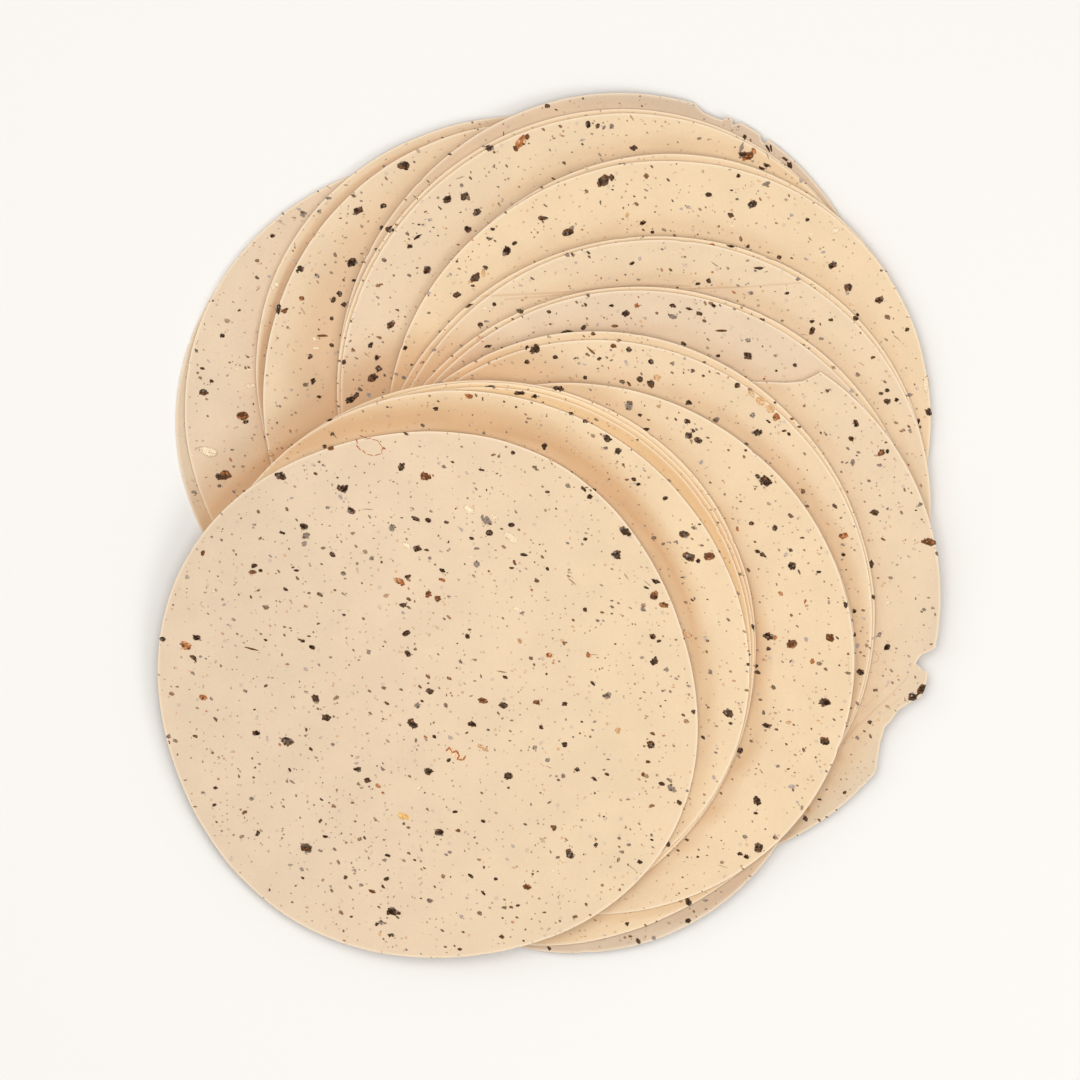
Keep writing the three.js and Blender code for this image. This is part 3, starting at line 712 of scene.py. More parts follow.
# The other specks that show well, by kind: x, y, length, width and direction in degrees.
specks = {
    "black": [
        [-78, -0.5, 2.6, 1.9, -20], [-85, -2.5, 1.9, 1, -20], [-69, -9.5, 1.9, 1.6, -30],
        [-112.5, -36, 2.6, 1.8, 0], [-123.5, -36.5, 1.9, 1.6, -30], [-113.5, -42.5, 2.9, 1.4, -35],
        [-75.5, -39, 2.2, 1.4, -30], [-94, -13, 2.2, 1.4, 10], [-113, -67.5, 1.8, 1, -20],
        [-76, -71.5, 1.6, 1, -35], [-106.5, -84, 1.4, 1.1, 0], [-107, -89.5, 1.4, 1.1, 30],
        [-73, -94.5, 1.3, 1.3, -40], [-71.5, -99.5, 1.8, 1, -10], [-93, -98.5, 1.9, 1.3, 70],
        [-42.5, 2, 2.9, 1.3, -25], [-38.5, 1.5, 2.2, 1.6, -10], [-39, -8, 1.9, 0.8, -10],
        [-34, -14.5, 2.1, 1.3, -30], [-12, 0, 2.2, 1.6, 0], [-8, -9.5, 2.6, 1.1, -10],
        [-0.5, -14, 1.4, 1.1, -40], [-46.5, -25.5, 2.6, 1.4, 0], [-26, -35.5, 1.9, 1.3, -40],
        [-45, -41, 2.6, 1.6, -30], [-14, -48.5, 1.8, 1, -25], [-38, -53, 2.6, 1.9, -20],
        [-36.5, -67.5, 1.4, 1.1, -50], [-58, -81.5, 1.9, 1.8, 0], [-61, -78, 2.6, 1.6, 0],
        [-32, -75, 1.3, 1.3, 0], [-30, -91.5, 1.8, 1, 0], [-21, -94.5, 1.6, 1.1, -20],
        [-2.5, -64.5, 1.6, 1.3, -30], [21.5, -9.5, 2.9, 2.6, 0], [25.5, -3, 1.6, 1.3, 60],
        [11.5, -4.5, 1.4, 1.1, 0], [34, -18, 2.9, 1.4, -20], [31, -20, 1.9, 0.8, -25],
        [11.5, -27, 1.6, 1.4, -50], [33, -35.5, 2.1, 1.8, -50], [35, -37, 1.4, 1.1, 0],
        [47.5, -11.5, 1.6, 1.3, -20], [43, -3, 3.2, 2.2, 0], [14, -50.5, 1.9, 1, -50],
        [5, -57, 1.9, 1.4, -10], [46, -59.5, 1.6, 1.3, -40], [32.5, -70, 2.6, 2.4, 0],
        [5, -70, 1.9, 1.8, 0], [9, -78, 1.8, 1.3, -25], [14.5, -81, 2.1, 1, -45],
        [18.5, -79.5, 1.6, 1, -20], [36, -82.5, 1.9, 1.4, 0], [41.5, -88.5, 2.1, 1.3, -40],
        [-65, -112.5, 1.3, 1.3, 0], [-51.5, -105.5, 2.2, 1, -20], [-53, -115.5, 1.9, 0.8, -50],
        [-25, -112, 2.2, 1.1, -35], [-17, -113, 1.4, 1.1, 0], [-21, -117.5, 2.2, 0.8, -45],
        [-15, -131.5, 1.6, 1.3, -40], [-28.5, -135.5, 1.4, 1.1, 0], [-55, -127.5, 1.3, 1.3, 0],
        [-50.5, -131, 1.9, 1.3, 0], [-48, -124, 1.4, 1.1, 30], [15, -102, 1.4, 1.3, 0],
        [29, -107.5, 1.8, 1.3, -20], [38, -102, 1.6, 1.6, 0], [25, -127.5, 1.6, 1.1, 60],
        [28.5, -133, 2.2, 1.3, -60], [44.5, -120.5, 2.4, 1.9, -50], [44.5, -126.5, 1.9, 1.6, 0],
        [-88.5, 92.5, 1.6, 1.3, 0], [-79.5, 82, 2.1, 1.9, 0], [-19, 120.5, 2.6, 1.9, 20],
        [-32.5, 104, 2.6, 2.4, 50], [-23, 100, 2.6, 2.2, 60], [-26, 94.5, 2.2, 2.1, 30],
        [-53, 102, 2.2, 1.6, 0], [-53.5, 95, 1.6, 1.3, 90], [-42, 92, 2.9, 1, 35],
        [-44.5, 89, 1.8, 1.4, 0], [-18, 94.5, 1.6, 1.1, 0], [-11, 90, 1.8, 1.3, 30],
        [-2, 98, 2.9, 1.6, 0], [-0.5, 134, 1.8, 1.3, 0], [15.5, 127.5, 1.6, 1.4, 90],
        [20, 111, 1.9, 1.8, 0], [30, 96.5, 2.2, 1.3, 20], [33, 93.5, 1.4, 1.1, 0],
        [51, 105.5, 2.2, 1.6, 0], [26.5, 83.5, 1.8, 1.1, 20], [61.5, 118.5, 1.6, 1.6, 0],
        [69.5, 115, 1.6, 1.6, 0], [68, 114, 2.2, 1, -15], [75.5, 117, 2.2, 1, -35],
        [77, 115, 2.2, 1.6, -60], [70, 120.5, 2.9, 0.8, -60], [71, 120.5, 2.6, 0.7, -80],
        [60.5, 111.5, 1.4, 1.3, 0], [58, 99, 1.8, 1.6, 0], [82.5, 97.5, 1.3, 1.3, 0],
        [63.5, 89, 1.4, 1.1, 0], [73.5, 85.5, 1.6, 1.3, 0], [67, 82, 2.9, 1.1, 0],
        [-69.5, 66, 1.3, 1.3, 0], [-69, 72, 1.9, 1.6, 45], [-67, 74, 1.9, 1.8, 60],
        [-65.5, 70.5, 1.8, 1.6, 45], [-69.5, 57.5, 1.6, 1.3, -30], [-76.5, 53.5, 1.6, 1, 20],
        [-65.5, 52, 1.8, 1.3, 60], [-75.5, 46, 2.2, 1.4, 80], [-73.5, 41, 1.6, 1, -10],
        [-108, 46, 1.3, 1.3, 0], [-97, 33, 1.9, 1.3, 10], [-70, 33.5, 1.9, 1, 10],
        [-105.5, 15.5, 2.2, 2.2, 0], [-69, 29, 1.4, 1.3, 0], [-71.5, 25, 1.4, 1.3, 0],
        [-67, 12, 1.6, 1.3, 90], [-29.5, 73.5, 2.6, 1.8, 20], [-25.5, 70, 2.9, 0.8, 35],
        [-17.5, 70.5, 1.3, 1.3, 0], [-22, 64, 1.9, 1.3, 0], [-19.5, 57, 2.6, 1, 10],
        [-7, 56.5, 1.6, 1.3, 90], [-7, 52, 1.6, 1.6, 0], [0, 68, 1.6, 1.1, 0], [-57, 57.5, 2.1, 1.4, 50],
        [-55, 53.5, 1.6, 1.6, 40], [-54.5, 50, 2.2, 1.9, 60], [-61.5, 41.5, 2.2, 1.3, 50],
        [-46, 56.5, 1.6, 1.3, 50], [-36, 37, 1.6, 1.4, 0], [-19, 44, 3.5, 1, 5], [-9.5, 42, 3.8, 1.3, 0],
        [-4.5, 41, 1.4, 1.4, 0], [20, 70, 1.6, 1, 0], [11, 63, 1.8, 1.6, 0], [5.5, 61.5, 4.2, 1.3, 10],
        [48, 67.5, 2.1, 1.4, -20], [52.5, 70, 1.8, 1, -20], [47.5, 77, 1.9, 1, 15], [51, 78, 1.6, 1.6, 0],
        [39.5, 70, 2.2, 1.3, -20], [25.5, 56, 1.9, 1.6, -45], [2, 53.5, 1.9, 1.3, -25],
        [16, 53, 1.6, 1.1, 0], [32.5, 52, 1.9, 1.6, -50], [11.5, 47, 1.4, 1.3, -40],
        [3, 43.5, 3.8, 1.6, -12], [32.5, 45, 2.9, 2.2, -50], [29, 46.5, 2.2, 1.9, -40],
        [44.5, 39, 2.1, 1.6, -20], [29, 35, 1.4, 1.1, 0], [44, 33, 2.1, 1.6, 0], [7, 35.5, 1.8, 1.1, -20],
        [54, 54, 1.6, 1, 0], [95.5, 76, 2.6, 2.4, 20], [76, 74, 1.6, 1, 15], [98, 66, 1.8, 1.6, 0],
        [114.5, 62.5, 1.4, 1.3, 0], [90, 65.5, 1.6, 1.1, 0], [84, 65, 1.6, 1.1, 0],
        [108, 43, 1.6, 1.3, 0], [106, 42, 1.6, 1.1, 0], [108, 39.5, 2.1, 1.9, 0], [111, 40, 1.4, 1.3, 0],
        [121.5, 36, 2.2, 2.2, 0], [118, 33, 2.2, 1.1, 70], [78.5, 51, 1.4, 1.3, 0],
        [68, 65.5, 1.4, 1.3, 0], [60, 44.5, 1.9, 1.8, -50], [70, 33, 1.9, 0.8, -35],
        [98, 32.5, 2.1, 1.9, 0], [-45.5, 29, 2.1, 0.8, -25], [-47, 18.5, 2.2, 2.1, 60],
        [-21.5, 17.5, 2.1, 0.8, -10], [-0.5, 10.5, 1.6, 1, 0], [-11.5, 23, 1.4, 1.4, 0],
        [-1.5, 25, 2.1, 1.8, 90], [22, 23.5, 2.1, 2.1, 0], [27, 14.5, 1.6, 1.3, 0],
        [28.5, 13, 1.4, 1.1, 0], [11, 11.5, 2.2, 1.1, -55], [13, 9, 1.8, 1.6, 0], [31, 30.5, 2.4, 1, 0],
        [44.5, 28.5, 2.4, 2.1, 0], [46, 30, 1.6, 1, -30], [37, 8.5, 1.6, 1.6, 0],
        [66.5, 15.5, 1.8, 1.4, -30], [64.5, 0.5, 1.6, 1.4, 0], [72, -1, 1.8, 1.8, 30],
        [77, -8, 1.6, 1, -10], [66.5, -8.5, 1.8, 1.3, 0], [68, -9.5, 1.8, 1.3, -20],
        [94, -9.5, 1.4, 1.1, -20], [96.5, 27.5, 1.6, 1.6, 0], [108, 23.5, 1.4, 1.3, 90],
        [75, 30, 1.8, 0.8, 0], [76.5, 29, 1.6, 1, -45], [77.5, -13, 2.9, 2.2, 0], [86, -15, 1.6, 1, 0],
        [103, -12.5, 2.7, 1.4, 90], [94.5, -25.5, 2.1, 1.4, -60], [97.5, -27.5, 1.4, 1.3, 90],
        [65, -32.5, 1.9, 1, -70], [70, -39.5, 1.6, 1.3, 0], [66, -45, 1.6, 1.3, -50],
        [66, -47, 1.4, 1.1, 0], [99.5, -47, 2.4, 1.9, -50], [97.5, -35, 1.6, 1, 90],
        [102.5, -63, 1.4, 1.3, 0], [69.5, -64, 2.9, 1.6, -15], [61, -72, 2.2, 1.9, 0],
        [66, -92, 1.4, 1.1, 0], [61, -105, 1.9, 1.1, -15], [63, -106, 1.9, 1.3, -30],
        [67, -103, 2.9, 2.6, 0], [82, -94, 1.9, 1.4, -50], [79, -99.5, 1.6, 1.3, 0],
        [94.5, -85.5, 1.4, 1.1, 60], [118, -43.5, 2.9, 1.4, 70], [119, -52.5, 3.6, 2.4, 50],
        [116.2, -55, 3, 2.4, 10], [-45, -16.5, 2.2, 1.4, 20], [-78.5, -37, 1.6, 1.1, 0],
        [-84, -20.5, 1.9, 1, -35], [62.5, 124, 1.9, 1.3, 60], [58, 89, 2.6, 0.8, -10],
        [-80.5, -14.5, 1.9, 0.8, 0], [-92, -14.5, 1.4, 1.1, 0],
    ],
    "grey": [
        [-77.5, -3.5, 2.2, 2.2, 0], [-78, -6, 1.9, 1.6, 0], [-65.5, -15.5, 1.9, 1.4, -20],
        [-70.5, 5.5, 1.6, 1, 0], [-97, -53, 1.6, 1.1, -30], [-121.5, -67.5, 1.6, 1.3, 0],
        [-69, -70, 1.6, 1, 0], [-82, -82, 2.6, 0.7, -35], [-95, -87.5, 1.8, 1.3, -10],
        [-50, -1, 2.2, 1.9, 0], [-38, -10.5, 1.4, 1.1, 0], [-23, -12.5, 2.2, 1.9, 10],
        [-23, -7.5, 1.8, 1, 0], [-8.5, -28, 1.6, 1, 10], [-57.5, -40.5, 1.4, 1.3, 90],
        [-42, -57.5, 1.8, 1.8, 0], [-4.5, -71, 1.4, 1.4, 0], [-0.5, -75, 1.6, 1.3, 0],
        [30, -27, 1.9, 1.3, -30], [37.5, -46, 1.4, 1.4, 0], [15.5, -30.5, 1.6, 1, -20],
        [18.5, -54.5, 2.6, 2.2, 0], [4.5, -80, 1.6, 1.4, 90], [39, -84, 2.9, 1.9, -45],
        [-79, -110, 1.6, 1.1, -30], [-52.5, -107, 1.6, 1, 0], [-60, -115, 1.6, 1, -20],
        [-38, -120, 2.1, 1.6, 0], [-53.5, -127, 1.8, 1.6, 0], [25.5, -102, 1.6, 1, 0],
        [33.5, -132, 1.6, 1.3, 90], [50, -120, 1.6, 1, 0], [-70.5, 104.5, 2.2, 1, 0],
        [-78.5, 99.5, 1.9, 1.9, 0], [-28, 108.5, 1.3, 1.3, 0], [17.5, 127, 1.6, 1, 45],
        [20, 127.5, 1.6, 1.6, 0], [48, 123.5, 1.6, 1, 0], [7.5, 95, 1.3, 1.3, 0],
        [69.5, 109, 2.9, 1.3, 25], [-105.5, 12.5, 1.4, 1.3, 0], [-113.5, 10.5, 1.9, 1.3, -20],
        [-20, 65, 1.9, 0.8, 0], [39.5, 66.5, 3.2, 1.6, -20], [39.5, 51.5, 1.4, 1.3, 0],
        [25.5, 38, 2.7, 2.6, 0], [79.5, 78.5, 1.3, 1.3, 0], [64.5, 74, 1.6, 1.3, 0],
        [87, 59.5, 1.6, 1, -15], [63.5, 59, 1.9, 1.3, 0], [-33.5, 18.5, 1.9, 1, -20],
        [6, 12.5, 1.6, 1.6, 0], [118.5, 6.5, 1.9, 1.1, 20], [98.5, -57, 1.9, 1, -40],
        [105.5, -35, 1.9, 1.3, 60], [73, -77, 1.4, 1.1, 0], [62.5, -99.5, 1.6, 1.3, -20],
        [98.5, -68, 1.4, 1.3, 0], [115, 41.5, 2.6, 1.3, 10], [61.5, 120.5, 3.5, 1.3, 70],
        [97, 20, 2.2, 1.4, 80], [105.5, 19, 1.9, 1, 0], [65, 35, 1.6, 1.6, 0], [-20, 1.5, 4.2, 2.2, -35],
    ],
    "ghost": [
        [-115.5, -16.5, 1.6, 1.6, 0], [-77.5, -46, 1.9, 1.3, -20], [-46.5, -28, 1.3, 1.3, 0],
        [-28, -125, 1.6, 1.6, 0], [-11.5, -102.5, 1.6, 1.3, -30], [-80, 101, 1.6, 1.3, -30],
        [-12, 102.5, 1.3, 1.3, 0], [-38, 97.5, 1.9, 1.3, 0], [10.5, 123, 1.6, 1.1, 20],
        [44.5, 101.5, 1.8, 1.4, 30], [29, 85, 1.6, 1.3, 90], [80.5, 110, 1.6, 1.3, 60],
        [77.5, 99, 1.6, 1.3, 0], [-31.5, 80, 1.3, 1.3, 0], [-38.5, 74, 1.6, 1.3, 0],
        [-57.5, 41.5, 1.9, 1.6, 40], [15.5, 64, 1.3, 1.3, -50], [24.5, 52, 1.3, 1.3, 0],
        [48.5, 20, 1.9, 1.6, 60], [75.5, -9.5, 1.6, 1.3, 90], [82, -36.5, 1.9, 1.6, -20],
        [98.5, -38.5, 1.9, 1.9, 0], [77.5, -83.5, 2.7, 1.6, -15], [-82, 8.5, 1.6, 1, 0],
        [-66.5, 9, 1.9, 1.6, 90], [-61.5, -76, 1.9, 1, 0], [-34.5, 45.5, 2.2, 0.7, 5],
        [-89.5, 79.5, 1.3, 1.3, 0],
    ],
    "brown": [
        [-94.5, -15, 2.6, 1.4, 0], [-110.5, -9, 1.9, 1.3, 90], [-11, -12, 1.8, 1.1, -60],
        [-38.5, -22, 2.2, 1.9, 0], [-35.5, -23.5, 2.2, 1.9, -50], [-21, -56, 2.9, 1.9, -10],
        [-29, -97.5, 1.9, 1, 10], [33.5, -22.5, 2.6, 2.6, 0], [36.5, -25.5, 2.9, 1.9, -15],
        [51, -10, 3.2, 2.6, 0], [33, -66.5, 1.9, 1, -20], [31.5, -75.5, 1.6, 1.1, 0],
        [30, -79.5, 1.4, 1.3, 90], [1.5, -96.5, 2.2, 1.6, -30], [-56.5, -117, 2.6, 1.1, -20],
        [-7, -115.5, 2.9, 1.6, -15], [-10.5, 120.5, 1.9, 1.9, 0], [-7, 124, 1.9, 1.6, 90],
        [-14.5, 125, 1.9, 0.4, 90], [-69.5, 24.5, 1.9, 1.6, 0], [14, 61, 1.4, 1.3, 0],
        [13.5, 55.5, 3.5, 0.8, -42], [25.5, 45, 1.9, 1, -50], [-72.5, 60.5, 4.2, 0.8, 0],
        [103.5, 53.5, 1.6, 1, 15], [21, 63.5, 2.2, 1.1, 0], [-79, 72.5, 1.9, 1.3, 0],
        [121.5, -5.5, 5.4, 2.2, -5], [55, 62, 4, 0.8, 0], [-95, -39.5, 5, 0.6, -15],
        [-4, -56.5, 2.2, 1.4, -20], [-84.5, 68.5, 2.4, 1.6, 30], [89.5, -36, 3, 2.2, -30],
    ],
    "rust": [
        [-25.5, 41, 2.6, 1.6, -20], [-34, -17.5, 2.6, 1, -20], [0, -41.5, 2.2, 1.6, -10],
        [12.5, -41.5, 1.6, 1.6, 0], [65.5, 119.5, 2.2, 1.4, -40], [52, 89.5, 1.9, 1, 0],
        [28, 70, 1.6, 1.6, 0], [72, -36, 1.6, 1.3, 60], [84, -43.5, 1.9, 1.4, -60],
        [72.5, 34.5, 2.6, 2, -40], [-116, -38.5, 3.6, 2.6, -30], [-110.5, -55, 2.8, 1.7, -15],
        [94, -3.5, 3, 2, 20], [-47.5, -18, 3.4, 2, -30], [-32.3, -71.5, 1.9, 0.65, 48],
        [-31.3, -71.8, 2.4, 0.65, -56], [-30.2, -72.3, 1.9, 0.7, 30], [-29.1, -72.6, 2.3, 0.65, -54],
        [-28.9, -74, 1.8, 0.7, 63], [-28.3, -74.8, 2.2, 0.65, -9], [-27, -74.3, 1.8, 0.65, 60],
        [-61.3, 27, 2.7, 0.45, -75], [-60.7, 24.6, 2.6, 0.45, -50], [-58.9, 23.3, 2, 0.45, -45],
        [-57.5, 27.5, 2.8, 0.3, 10], [-55.3, 27, 2.6, 0.3, -15], [-53.7, 25.6, 2.6, 0.3, -55],
        [-53.2, 23.8, 2.2, 0.3, 80], [-54.5, 22.4, 2.6, 0.3, 15], [-57, 22.3, 2.6, 0.3, -15],
        [-52.6, 24.4, 1.2, 0.8, -20], [-59.6, 28.2, 2, 0.35, -25],
    ],
    "tan": [
        [-89, 22.5, 2.6, 1.6, -20], [44, -35, 3.2, 1.6, -30], [-22, -70.5, 1.6, 1.3, -40],
        [-20.5, -71.5, 1.9, 1.3, -20], [25, 99, 1.6, 1.3, 90], [76.5, -63, 1.6, 1.3, 0],
        [83, -91, 1.9, 1.6, 45], [22, -65.5, 2.2, 1.9, 90], [-21, 80.5, 2.6, 1.3, 80],
        [34.5, 47, 2.6, 2, -30], [64.5, 42, 2.4, 1.6, -40], [67.5, 39.5, 3.6, 2.4, -30],
        [70.5, 37, 3.2, 2.2, -40],
    ],
    "gold": [[-46.5, -93, 3.8, 2.2, -20]],
    "pale": [
        [-41.5, -84, 1.6, 1.3, 0], [-95.5, 44.5, 3.5, 1.6, 0], [-75, 59.5, 1.9, 1, 0],
        [-74.5, 56.5, 2.2, 1, 0], [-100, 50, 1.6, 1, 0], [-25.5, 5, 4.4, 2, -35],
        [-17.5, 2.5, 3, 1.3, -35], [-12, -4, 5.6, 2.3, -35], [-45.5, -6.5, 3.2, 1.8, -30],
        [-10, -27, 3, 1.5, -20], [-109, 23.5, 6.2, 3.2, -15], [-87.5, 76.5, 3, 1.5, 40],
        [91.5, 94, 3, 1.6, 30], [108, -25, 2.6, 1.3, 30], [120.5, 45, 5.6, 1.6, 90],
    ],
}

crumbs = {
    "sectors": 9,
    "ragged": 0.1,
    "crown": 0.68,  # size of a lump's upper ring for its foot, and how high the ring and the top stand
    "crownHeight": [0.6, 1],
    "topHeight": [0.85, 1.2],
    "thick": 0.2,  # height of a lump for its width, kept between the next two
    "height": [0.08, 0.28],
    "sunk": 0.06,
    "depth": 0.2,
    "overhang": 0.3,  # how far a speck may stand out over the rim
    "seed": 7,
    "slant": [-0.5, 0.45],  # mean direction, in radians, and its spread: the way the dough was rolled
    "colours": {"black": (38, 21, 10), "brown": (94, 53, 28), "grey": (112, 99, 92),
                "rust": (156, 90, 48), "tan": (204, 158, 112), "gold": (214, 160, 92),
                "pale": (238, 218, 188), "ghost": (144, 134, 136), "husk": (224, 188, 146)},
    "glints": {"black": (130, 104, 80), "brown": (160, 114, 78), "grey": (168, 152, 140),
               "rust": (208, 148, 98), "tan": (228, 194, 152), "gold": (240, 206, 148),
               "pale": (228, 204, 168), "ghost": (168, 156, 154), "husk": (234, 202, 166)},
    "shown": {"ghost": 0.75, "pale": 0.75, "grey": 0.9, "husk": 0.7},  # how strongly these kinds show
    "flat": {"grey": 0.6, "ghost": 0.15, "husk": 0.3},  # share of the usual height
    "halo": 1.12,  # whole width of a speck for each millimetre of the dark middle that is listed
    "area": 139,  # half the height of the region in which specks are strewn, and its half width
    "areaWidth": 126,
    "tries": 3,  # places drawn for each strewn speck, as many lie beside the stack
    "glintShare": [0.18, 0.34],  # mean and spread of how much of the glint colour a corner has
    "edgeShare": 0.8,  # how strongly the foot of a lump shows, and the same for a ghost
    "ghostEdge": 0.1,
}

# the small lumps that make a large speck rough, and the kinds that they are drawn from
clusters = {
    "least": 1.7,  # length times width from which a speck is a cluster
    "slimmest": 3.2,  # longer ones for their width are single lumps
    "perArea": 1.3,
    "count": [2, 9],
    "reach": 0.47,
    "size": [0.28, 0.5],
    "slim": [0.6, 1],
    "turn": 0.7,
    "lift": 0.85,
    "base": 0.97,
    "mixes": {"black": {"black": 0.52, "brown": 0.26, "grey": 0.22},
              "brown": {"brown": 0.55, "black": 0.2, "rust": 0.25},
              "rust": {"rust": 0.5, "brown": 0.25, "black": 0.05, "tan": 0.2},
              "grey": {"grey": 0.75, "black": 0.25}},
}

# Specks strewn at random: number, length and width for that length (least and greatest), how strongly
# they show (the two numbers of a beta distribution), and what share of them is of each kind.
strewn = [
    {"number": 120, "length": [1.7, 2.3], "slim": [0.5, 0.75], "strength": [6, 1.3],
     "kinds": {"black": 0.5, "brown": 0.26, "grey": 0.17, "rust": 0.07}},
    {"number": 460, "length": [1.25, 1.8], "slim": [0.42, 0.68], "strength": [6, 1.3],
     "kinds": {"black": 0.48, "brown": 0.24, "grey": 0.19, "rust": 0.05, "tan": 0.02, "pale": 0.02}},
    {"number": 1050, "length": [0.75, 1.25], "slim": [0.45, 0.9], "strength": [4, 1.4],
     "kinds": {"black": 0.4, "brown": 0.3, "grey": 0.2, "rust": 0.06, "tan": 0.03, "pale": 0.01}},
    {"number": 700, "length": [0.45, 0.75], "slim": [0.6, 1], "strength": [3, 1.2],
     "kinds": {"black": 0.4, "brown": 0.42, "rust": 0.12, "grey": 0.06}},
    {"number": 130, "length": [1, 2.2], "slim": [0.4, 0.9], "strength": [3, 3], "kinds": {"ghost": 1}},
    {"number": 40, "length": [1.8, 4], "slim": [0.1, 0.16], "strength": [3, 2],
     "kinds": {"brown": 0.5, "black": 0.3, "grey": 0.2}},
]


def lumpHeight(width):
    return np.clip(width * crumbs["thick"], *crumbs["height"])


# x and y of points given along a speck, whose direction is turn, and across it
def turned(x, y, along, across, turn):
    turnedX = x + along * np.cos(turn) - across * np.sin(turn)
    turnedY = y + along * np.sin(turn) + across * np.cos(turn)
    return turnedX, turnedY


# Irregular low lumps, each a rough ring on the dough, a smaller ring above it, a top point and a
# point inside the dough. Rows of lumps: x, y, length, width, direction in radians, lift, level, height.
def lumpPoints(rows, rng):
    count, sectors = len(rows), crumbs["sectors"]
    x, y, length, width, turn, lift, level, height = (rows[:, [column]] for column in range(8))
    angle = np.arange(sectors) * 2 * np.pi / sectors
    ragged = np.ones((count, sectors))
    for waves in (2, 3, 4):
        size, shift = rng.normal(0, crumbs["ragged"], (count, 1)), rng.uniform(0, 6.3, (count, 1))
        ragged += size * np.cos(waves * angle + shift)
    raised = rng.uniform(*crumbs["crownHeight"], (count, sectors))
    rings = []
    foot, crown = lift - crumbs["sunk"] + np.zeros_like(raised), lift + height * raised
    for share, up in ((1.0, foot), (crumbs["crown"], crown)):
        along = 0.5 * length * share * ragged * np.cos(angle)
        across = 0.5 * width * share * ragged * np.sin(angle)
        rings.append([*turned(x, y, along, across, turn), up])
    peak = [x, y, lift + height * rng.uniform(*crumbs["topHeight"], (count, 1))]
    root = [x, y, np.full_like(x, -crumbs["depth"])]
    px, py, up = (np.concatenate([rings[0][i], rings[1][i], peak[i], root[i]], axis=1) for i in range(3))
    levels = np.broadcast_to(level.astype(int), px.shape)
    pz = np.zeros_like(px)
    for one in np.unique(levels):
        chosen = levels == one
        disc = papadums[one]
        direction, reach = fromMiddle(disc, px[chosen], py[chosen])
        kept = np.minimum(1, (rimRadius(one, direction) + crumbs["overhang"]) / reach)
        px[chosen] = disc["x"] + (px[chosen] - disc["x"]) * kept
        py[chosen] = disc["y"] + (py[chosen] - disc["y"]) * kept
        pz[chosen] = topHeight(one, px[chosen], py[chosen]) + up[chosen]
    return np.stack([px, py, pz], axis=-1)


# the triangles of that many lumps: foot to ring, ring to top point, and foot to the point inside
def lumpFaces(count):
    sectors = crumbs["sectors"]
    around = np.arange(sectors)
    after = np.roll(around, -1)
    peak, root = 2 * sectors, 2 * sectors + 1
    outerUp = np.stack([around, after, after + sectors], axis=-1)
    innerUp = np.stack([around, after + sectors, around + sectors], axis=-1)
    crown = np.stack([around + sectors, after + sectors, np.full(sectors, peak)], axis=-1)
    under = np.stack([after, around, np.full(sectors, root)], axis=-1)
    one = np.concatenate([outerUp, innerUp, crown, under])
    return (one[None] + (2 * sectors + 2) * np.arange(count)[:, None, None]).reshape(-1, 3)


# A large speck is one rough lump with smaller ones of mixed kinds on and around it. The rows are x,
# y, length, width, direction, strength and how far a lump is lifted off the dough.
def clusterRows(x, y, length, width, turn, strength, rng):
    count = int(np.clip(round(length * width * clusters["perArea"]), *clusters["count"]))
    angle, reach = rng.uniform(0, 2 * np.pi, count), np.sqrt(rng.uniform(0.02, 0.85, count))
    along = clusters["reach"] * length * reach * np.cos(angle)
    across = clusters["reach"] * width * reach * np.sin(angle)
    size = rng.uniform(*clusters["size"], count) * width
    slim = size * rng.uniform(*clusters["slim"], count)
    lift = clusters["lift"] * lumpHeight(width) * (1 - reach ** 2)
    turns = turn + rng.normal(0, clusters["turn"], count)
    lumpX, lumpY = turned(x, y, along, across, turn)
    rows = np.stack([lumpX, lumpY, size, slim, turns, np.full(count, strength), lift], axis=-1)
    base = [x, y, clusters["base"] * length, clusters["base"] * width, turn, strength, 0]
    return np.concatenate([[base], rows])


def addSpeck(found, x, y, length, width, turn, strength, kind, rng):
    isSmall = length * width < clusters["least"] or length > clusters["slimmest"] * width
    if kind not in clusters["mixes"] or isSmall:
        found[kind].append([x, y, length, width, turn, strength, 0])
        return
    rows = clusterRows(x, y, length, width, turn, strength, rng)
    found[kind].append(rows[0])
    mix = clusters["mixes"][kind]
    for row, drawn in zip(rows[1:], rng.choice(list(mix), len(rows) - 1, p=list(mix.values()))):
        found[drawn].append(row)


# the rows of all lumps, by kind: the fused peppercorns, the listed specks and the strewn ones
def scatterCrumbs():
    rng = np.random.default_rng(crumbs["seed"])
    found = {kind: [] for kind in crumbs["colours"]}
    for x, y, length, direction, *kind in peppercorns:
        kind = kind[0] if kind else "black"
        width = length * (0.5 if kind in ("rust", "husk") else 0.7)
        shown = crumbs["shown"].get(kind, 1)
        addSpeck(found, x, y, length, width, math.radians(direction), shown, kind, rng)
    for kind, rows in specks.items():
        for x, y, length, width, direction in rows:
            length, width = length * crumbs["halo"], width * crumbs["halo"]
            shown = crumbs["shown"].get(kind, 1)
            addSpeck(found, x, y, length, width, math.radians(direction), shown, kind, rng)
    for group in strewn:
        tries = crumbs["tries"] * group["number"]
        x = rng.uniform(-crumbs["areaWidth"], crumbs["areaWidth"], tries)
        y = rng.uniform(-crumbs["area"], crumbs["area"], tries)
        inside = np.flatnonzero(topLevelAt(x, y) >= 0)[:group["number"]]
        kinds = rng.choice(list(group["kinds"]), len(inside), p=list(group["kinds"].values()))
        for at, kind in zip(inside, kinds):
            length = rng.uniform(*group["length"])
            width = length * rng.uniform(*group["slim"])
            turn = rng.normal(*crumbs["slant"])
            addSpeck(found, x[at], y[at], length, width, turn, rng.beta(*group["strength"]), kind, rng)
    return {kind: np.array(rows) for kind, rows in found.items()}


